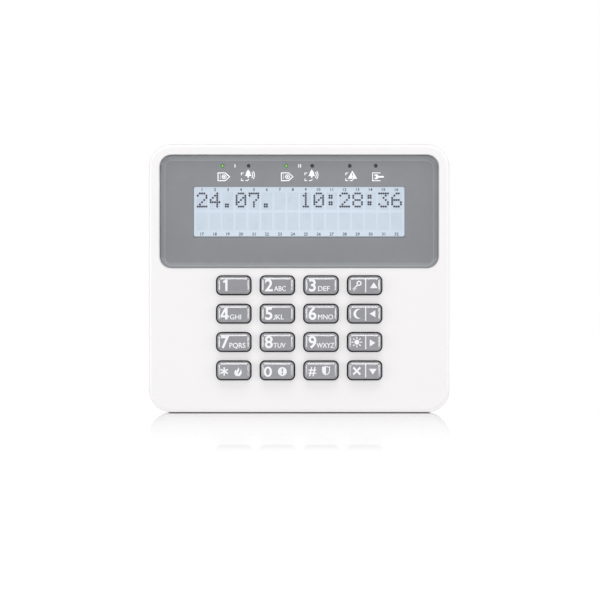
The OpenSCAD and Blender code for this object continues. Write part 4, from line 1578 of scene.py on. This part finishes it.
@dataclass
class Studio:
    """The camera, the pale room, the polished floor and the soft lamps."""

    camera_x: float = 0.00037
    camera_z: float = -0.01004
    camera_distance: float = 1.3
    front: float = 0.022
    view_width: float = 0.27692
    sensor: float = 36.0
    room_light: float = 0.41
    bounce_light: float = 1.05
    dark_side: tuple[float, float] = (0.06, 0.35)
    horizon: tuple[float, float] = (0.01, 0.06)
    white_above: tuple[float, float] = (0.08, 0.16)
    white_behind: tuple[float, float] = (-0.7, 0.3)
    floor_tones: tuple[float, float] = (0.985, 1.0)
    floor_grey: float = 0.16
    floor_glow: float = 0.87
    foot: tuple[float, float] = (0.06, 0.0685)
    reach: tuple[float, float] = (0.3, 0.8)
    contact: tuple[float, float] = (0.15, 0.6)
    contact_reach: float = 0.0006
    contact_depth: float = 0.95
    contact_samples: int = 16
    mirror_index: float = 1.45
    mirror_roughness: float = 0.015
    mirror_start: float = 0.08
    mirror_fall: float = 0.14
    mirror_end: tuple[float, float] = (0.29, 0.4)
    mirror_gain: float = 1.26
    floor_gap: float = 0.0002
    floor_size: float = 5.0
    floor_cells: int = 8
    floor_patch: float = 3.0
    softboxes: tuple[Softbox, ...] = (
        Softbox("front_softbox", Side.FRONT, 1.6, 0.6, 0.6, 3.6),
        Softbox("top_strip", Side.TOP, 1.6, 1.5, 0.3, 9.0),
        Softbox("left_strip", Side.LEFT, 0.8, 0.14, 0.5, 9.0),
        Softbox("right_strip", Side.RIGHT, 0.8, 0.14, 0.5, 9.0),
    )

    def place_camera(self) -> None:
        """Adds the camera, square to the front of the panel."""
        data = bpy.data.cameras.new("camera")
        data.sensor_width = self.sensor
        data.lens = self.sensor * self.camera_distance / self.view_width
        camera = bpy.data.objects.new("camera", data)
        camera.location = (self.camera_x, -(self.front + self.camera_distance), self.camera_z)
        camera.rotation_euler = (math.pi / 2, 0.0, 0.0)
        bpy.context.scene.collection.objects.link(camera)
        bpy.context.scene.camera = camera

    def build(self) -> None:
        """Sets the view, lights the room and lays the floor."""
        bpy.context.scene.view_settings.view_transform = "Standard"
        self.light_room()
        for softbox in self.softboxes:
            softbox.build()
        self.lay_floor()
        log.info("studio with %d lamps", len(self.softboxes))

    @staticmethod
    def seen(graph: Graph) -> bpy.types.NodeSocket:
        """1 for what the camera sees itself, in a mirror or through glass."""
        path = graph.add("ShaderNodeLightPath").outputs
        first = graph.plus(path["Is Camera Ray"], path["Is Glossy Ray"])
        return graph.plus(first, path["Is Transmission Ray"], clamp=True)

    def light_room(self) -> None:
        """Makes the room white to look at, and softer as a light."""
        world = bpy.data.worlds.new("pale_room")
        world.use_nodes = True
        world.node_tree.nodes.clear()
        graph = Graph(world.node_tree)
        path = graph.add("ShaderNodeLightPath").outputs
        way = graph.split(graph.add("ShaderNodeTexCoord").outputs["Generated"])
        low = graph.ease(way["Z"], *self.horizon, *self.dark_side)
        front = graph.math("MAXIMUM", low, graph.ease(way["Z"], *self.white_above))
        room = graph.plus(front, graph.ease(way["Y"], *self.white_behind), clamp=True)
        glossy = graph.times(path["Is Glossy Ray"], room)
        strength = graph.math("MAXIMUM", path["Is Camera Ray"], glossy)
        strength = graph.math("MAXIMUM", strength, path["Is Transmission Ray"])
        light = graph.add("ShaderNodeBackground", {"Color": opaque(WHITE), "Strength": self.room_light})
        shown = graph.add("ShaderNodeBackground", {"Color": opaque(WHITE), "Strength": strength})
        mixed = graph.mix(self.seen(graph), light.outputs[0], shown.outputs[0])
        graph.add("ShaderNodeOutputWorld", {"Surface": mixed})
        bpy.context.scene.world = world

    def lay_floor(self) -> None:
        """Lays the floor under the panel's lower edge."""
        mesh = bmesh.new()
        bmesh.ops.create_grid(mesh, x_segments=self.floor_cells, y_segments=self.floor_cells,
                              size=self.floor_size / 2)
        floor = finish_mesh("floor", mesh)
        floor.location = (0.0, 0.0, cad_box[0][2] - self.floor_gap)
        floor.data.materials.append(self.floor_material())

    def floor_material(self) -> bpy.types.Material:
        """A white gloss floor that keeps the shadow, adds a painted contact shadow under the panel, and shows
        a fading mirror image of the panel.
        """
        made = bpy.data.materials.new("white_gloss_floor")
        made.use_nodes = True
        made.node_tree.nodes.clear()
        graph = Graph(made.node_tree)
        place = graph.place()
        way = graph.split(place)
        dull, white = (opaque(scaled(WHITE, share)) for share in self.floor_tones)
        tone = graph.blend(graph.noise(place, self.floor_patch), dull, white)
        # Painted contact shadow: an ambient occlusion test darkens the floor's glow, bounce and mirror where
        # the panel stands close above it.
        near = graph.add("ShaderNodeAmbientOcclusion", {"Distance": self.contact_reach},
                         samples=self.contact_samples)
        under = graph.ease(near.outputs["AO"], *self.contact, 1.0, 0.0)
        lit = graph.minus(1.0, graph.times(under, self.contact_depth))
        level = graph.times(graph.ease(graph.length(place), *self.reach, self.floor_glow, 1.0), lit)
        shade = graph.add("ShaderNodeBsdfDiffuse", {"Color": opaque(scaled(WHITE, self.floor_grey))})
        glow = graph.add("ShaderNodeEmission", {"Color": tone, "Strength": level})
        seen_floor = graph.add("ShaderNodeAddShader", {0: shade.outputs[0], 1: glow.outputs[0]})
        # Painted shade in the mirror image: within the panel's width the mirror colour is a shade duller.
        mirror_shade_mask = graph.ease(graph.size(way["X"]), *self.foot, 1.0, 0.0)
        mirror = graph.add("ShaderNodeBsdfGlossy", {"Color": graph.blend(mirror_shade_mask, white, dull),
                                                    "Roughness": self.mirror_roughness})
        share = graph.times(graph.times(self.fading(graph, way), self.gloss(graph)), lit)
        polished = graph.mix(share, seen_floor.outputs[0], mirror.outputs[0])
        bounce = graph.times(lit, self.bounce_light)
        plain = graph.add("ShaderNodeEmission", {"Color": tone, "Strength": bounce})
        mixed = graph.mix(self.seen(graph), plain.outputs[0], polished)
        graph.add("ShaderNodeOutputMaterial", {"Surface": mixed})
        return made

    def gloss(self, graph: Graph) -> bpy.types.NodeSocket:
        """How much of the mirror image a polished floor shows."""
        fresnel = graph.add("ShaderNodeFresnel", {"IOR": self.mirror_index}).outputs[0]
        return graph.times(fresnel, self.mirror_gain, clamp=True)

    def fading(self, graph: Graph, way: bpy.types.NodeOutputs) -> bpy.types.NodeSocket:
        """How the mirror image fades away from the panel.

        Args:
            graph: The floor's graph.
            way: The X, Y and Z of the place on the floor.

        Returns:
            The share that is left, from 0 to 1.
        """
        across = graph.minus(graph.size(way["X"]), self.foot[1])
        depth = graph.math("MAXIMUM", graph.size(way["Y"]), across)
        past = graph.math("MAXIMUM", graph.minus(depth, self.mirror_start), 0.0)
        fall = graph.math("EXPONENT", graph.math("DIVIDE", past, -self.mirror_fall))
        return graph.times(fall, graph.ease(depth, *self.mirror_end, 1.0, 0.0))


def main() -> None:
    """Builds the scene from the camera to the last legend."""
    logging.basicConfig(level=logging.INFO, format="%(name)s: %(message)s")
    studio = Studio()
    studio.place_camera()
    shop, lettering = Paintshop(), Lettering()
    FrameFinishes(shop).build()
    Window(shop, lettering).build()
    Display(shop, lettering).build()
    StatusLamps(shop).build()
    Legends(shop, lettering).build()
    studio.build()


if __name__ == "__main__":
    main()
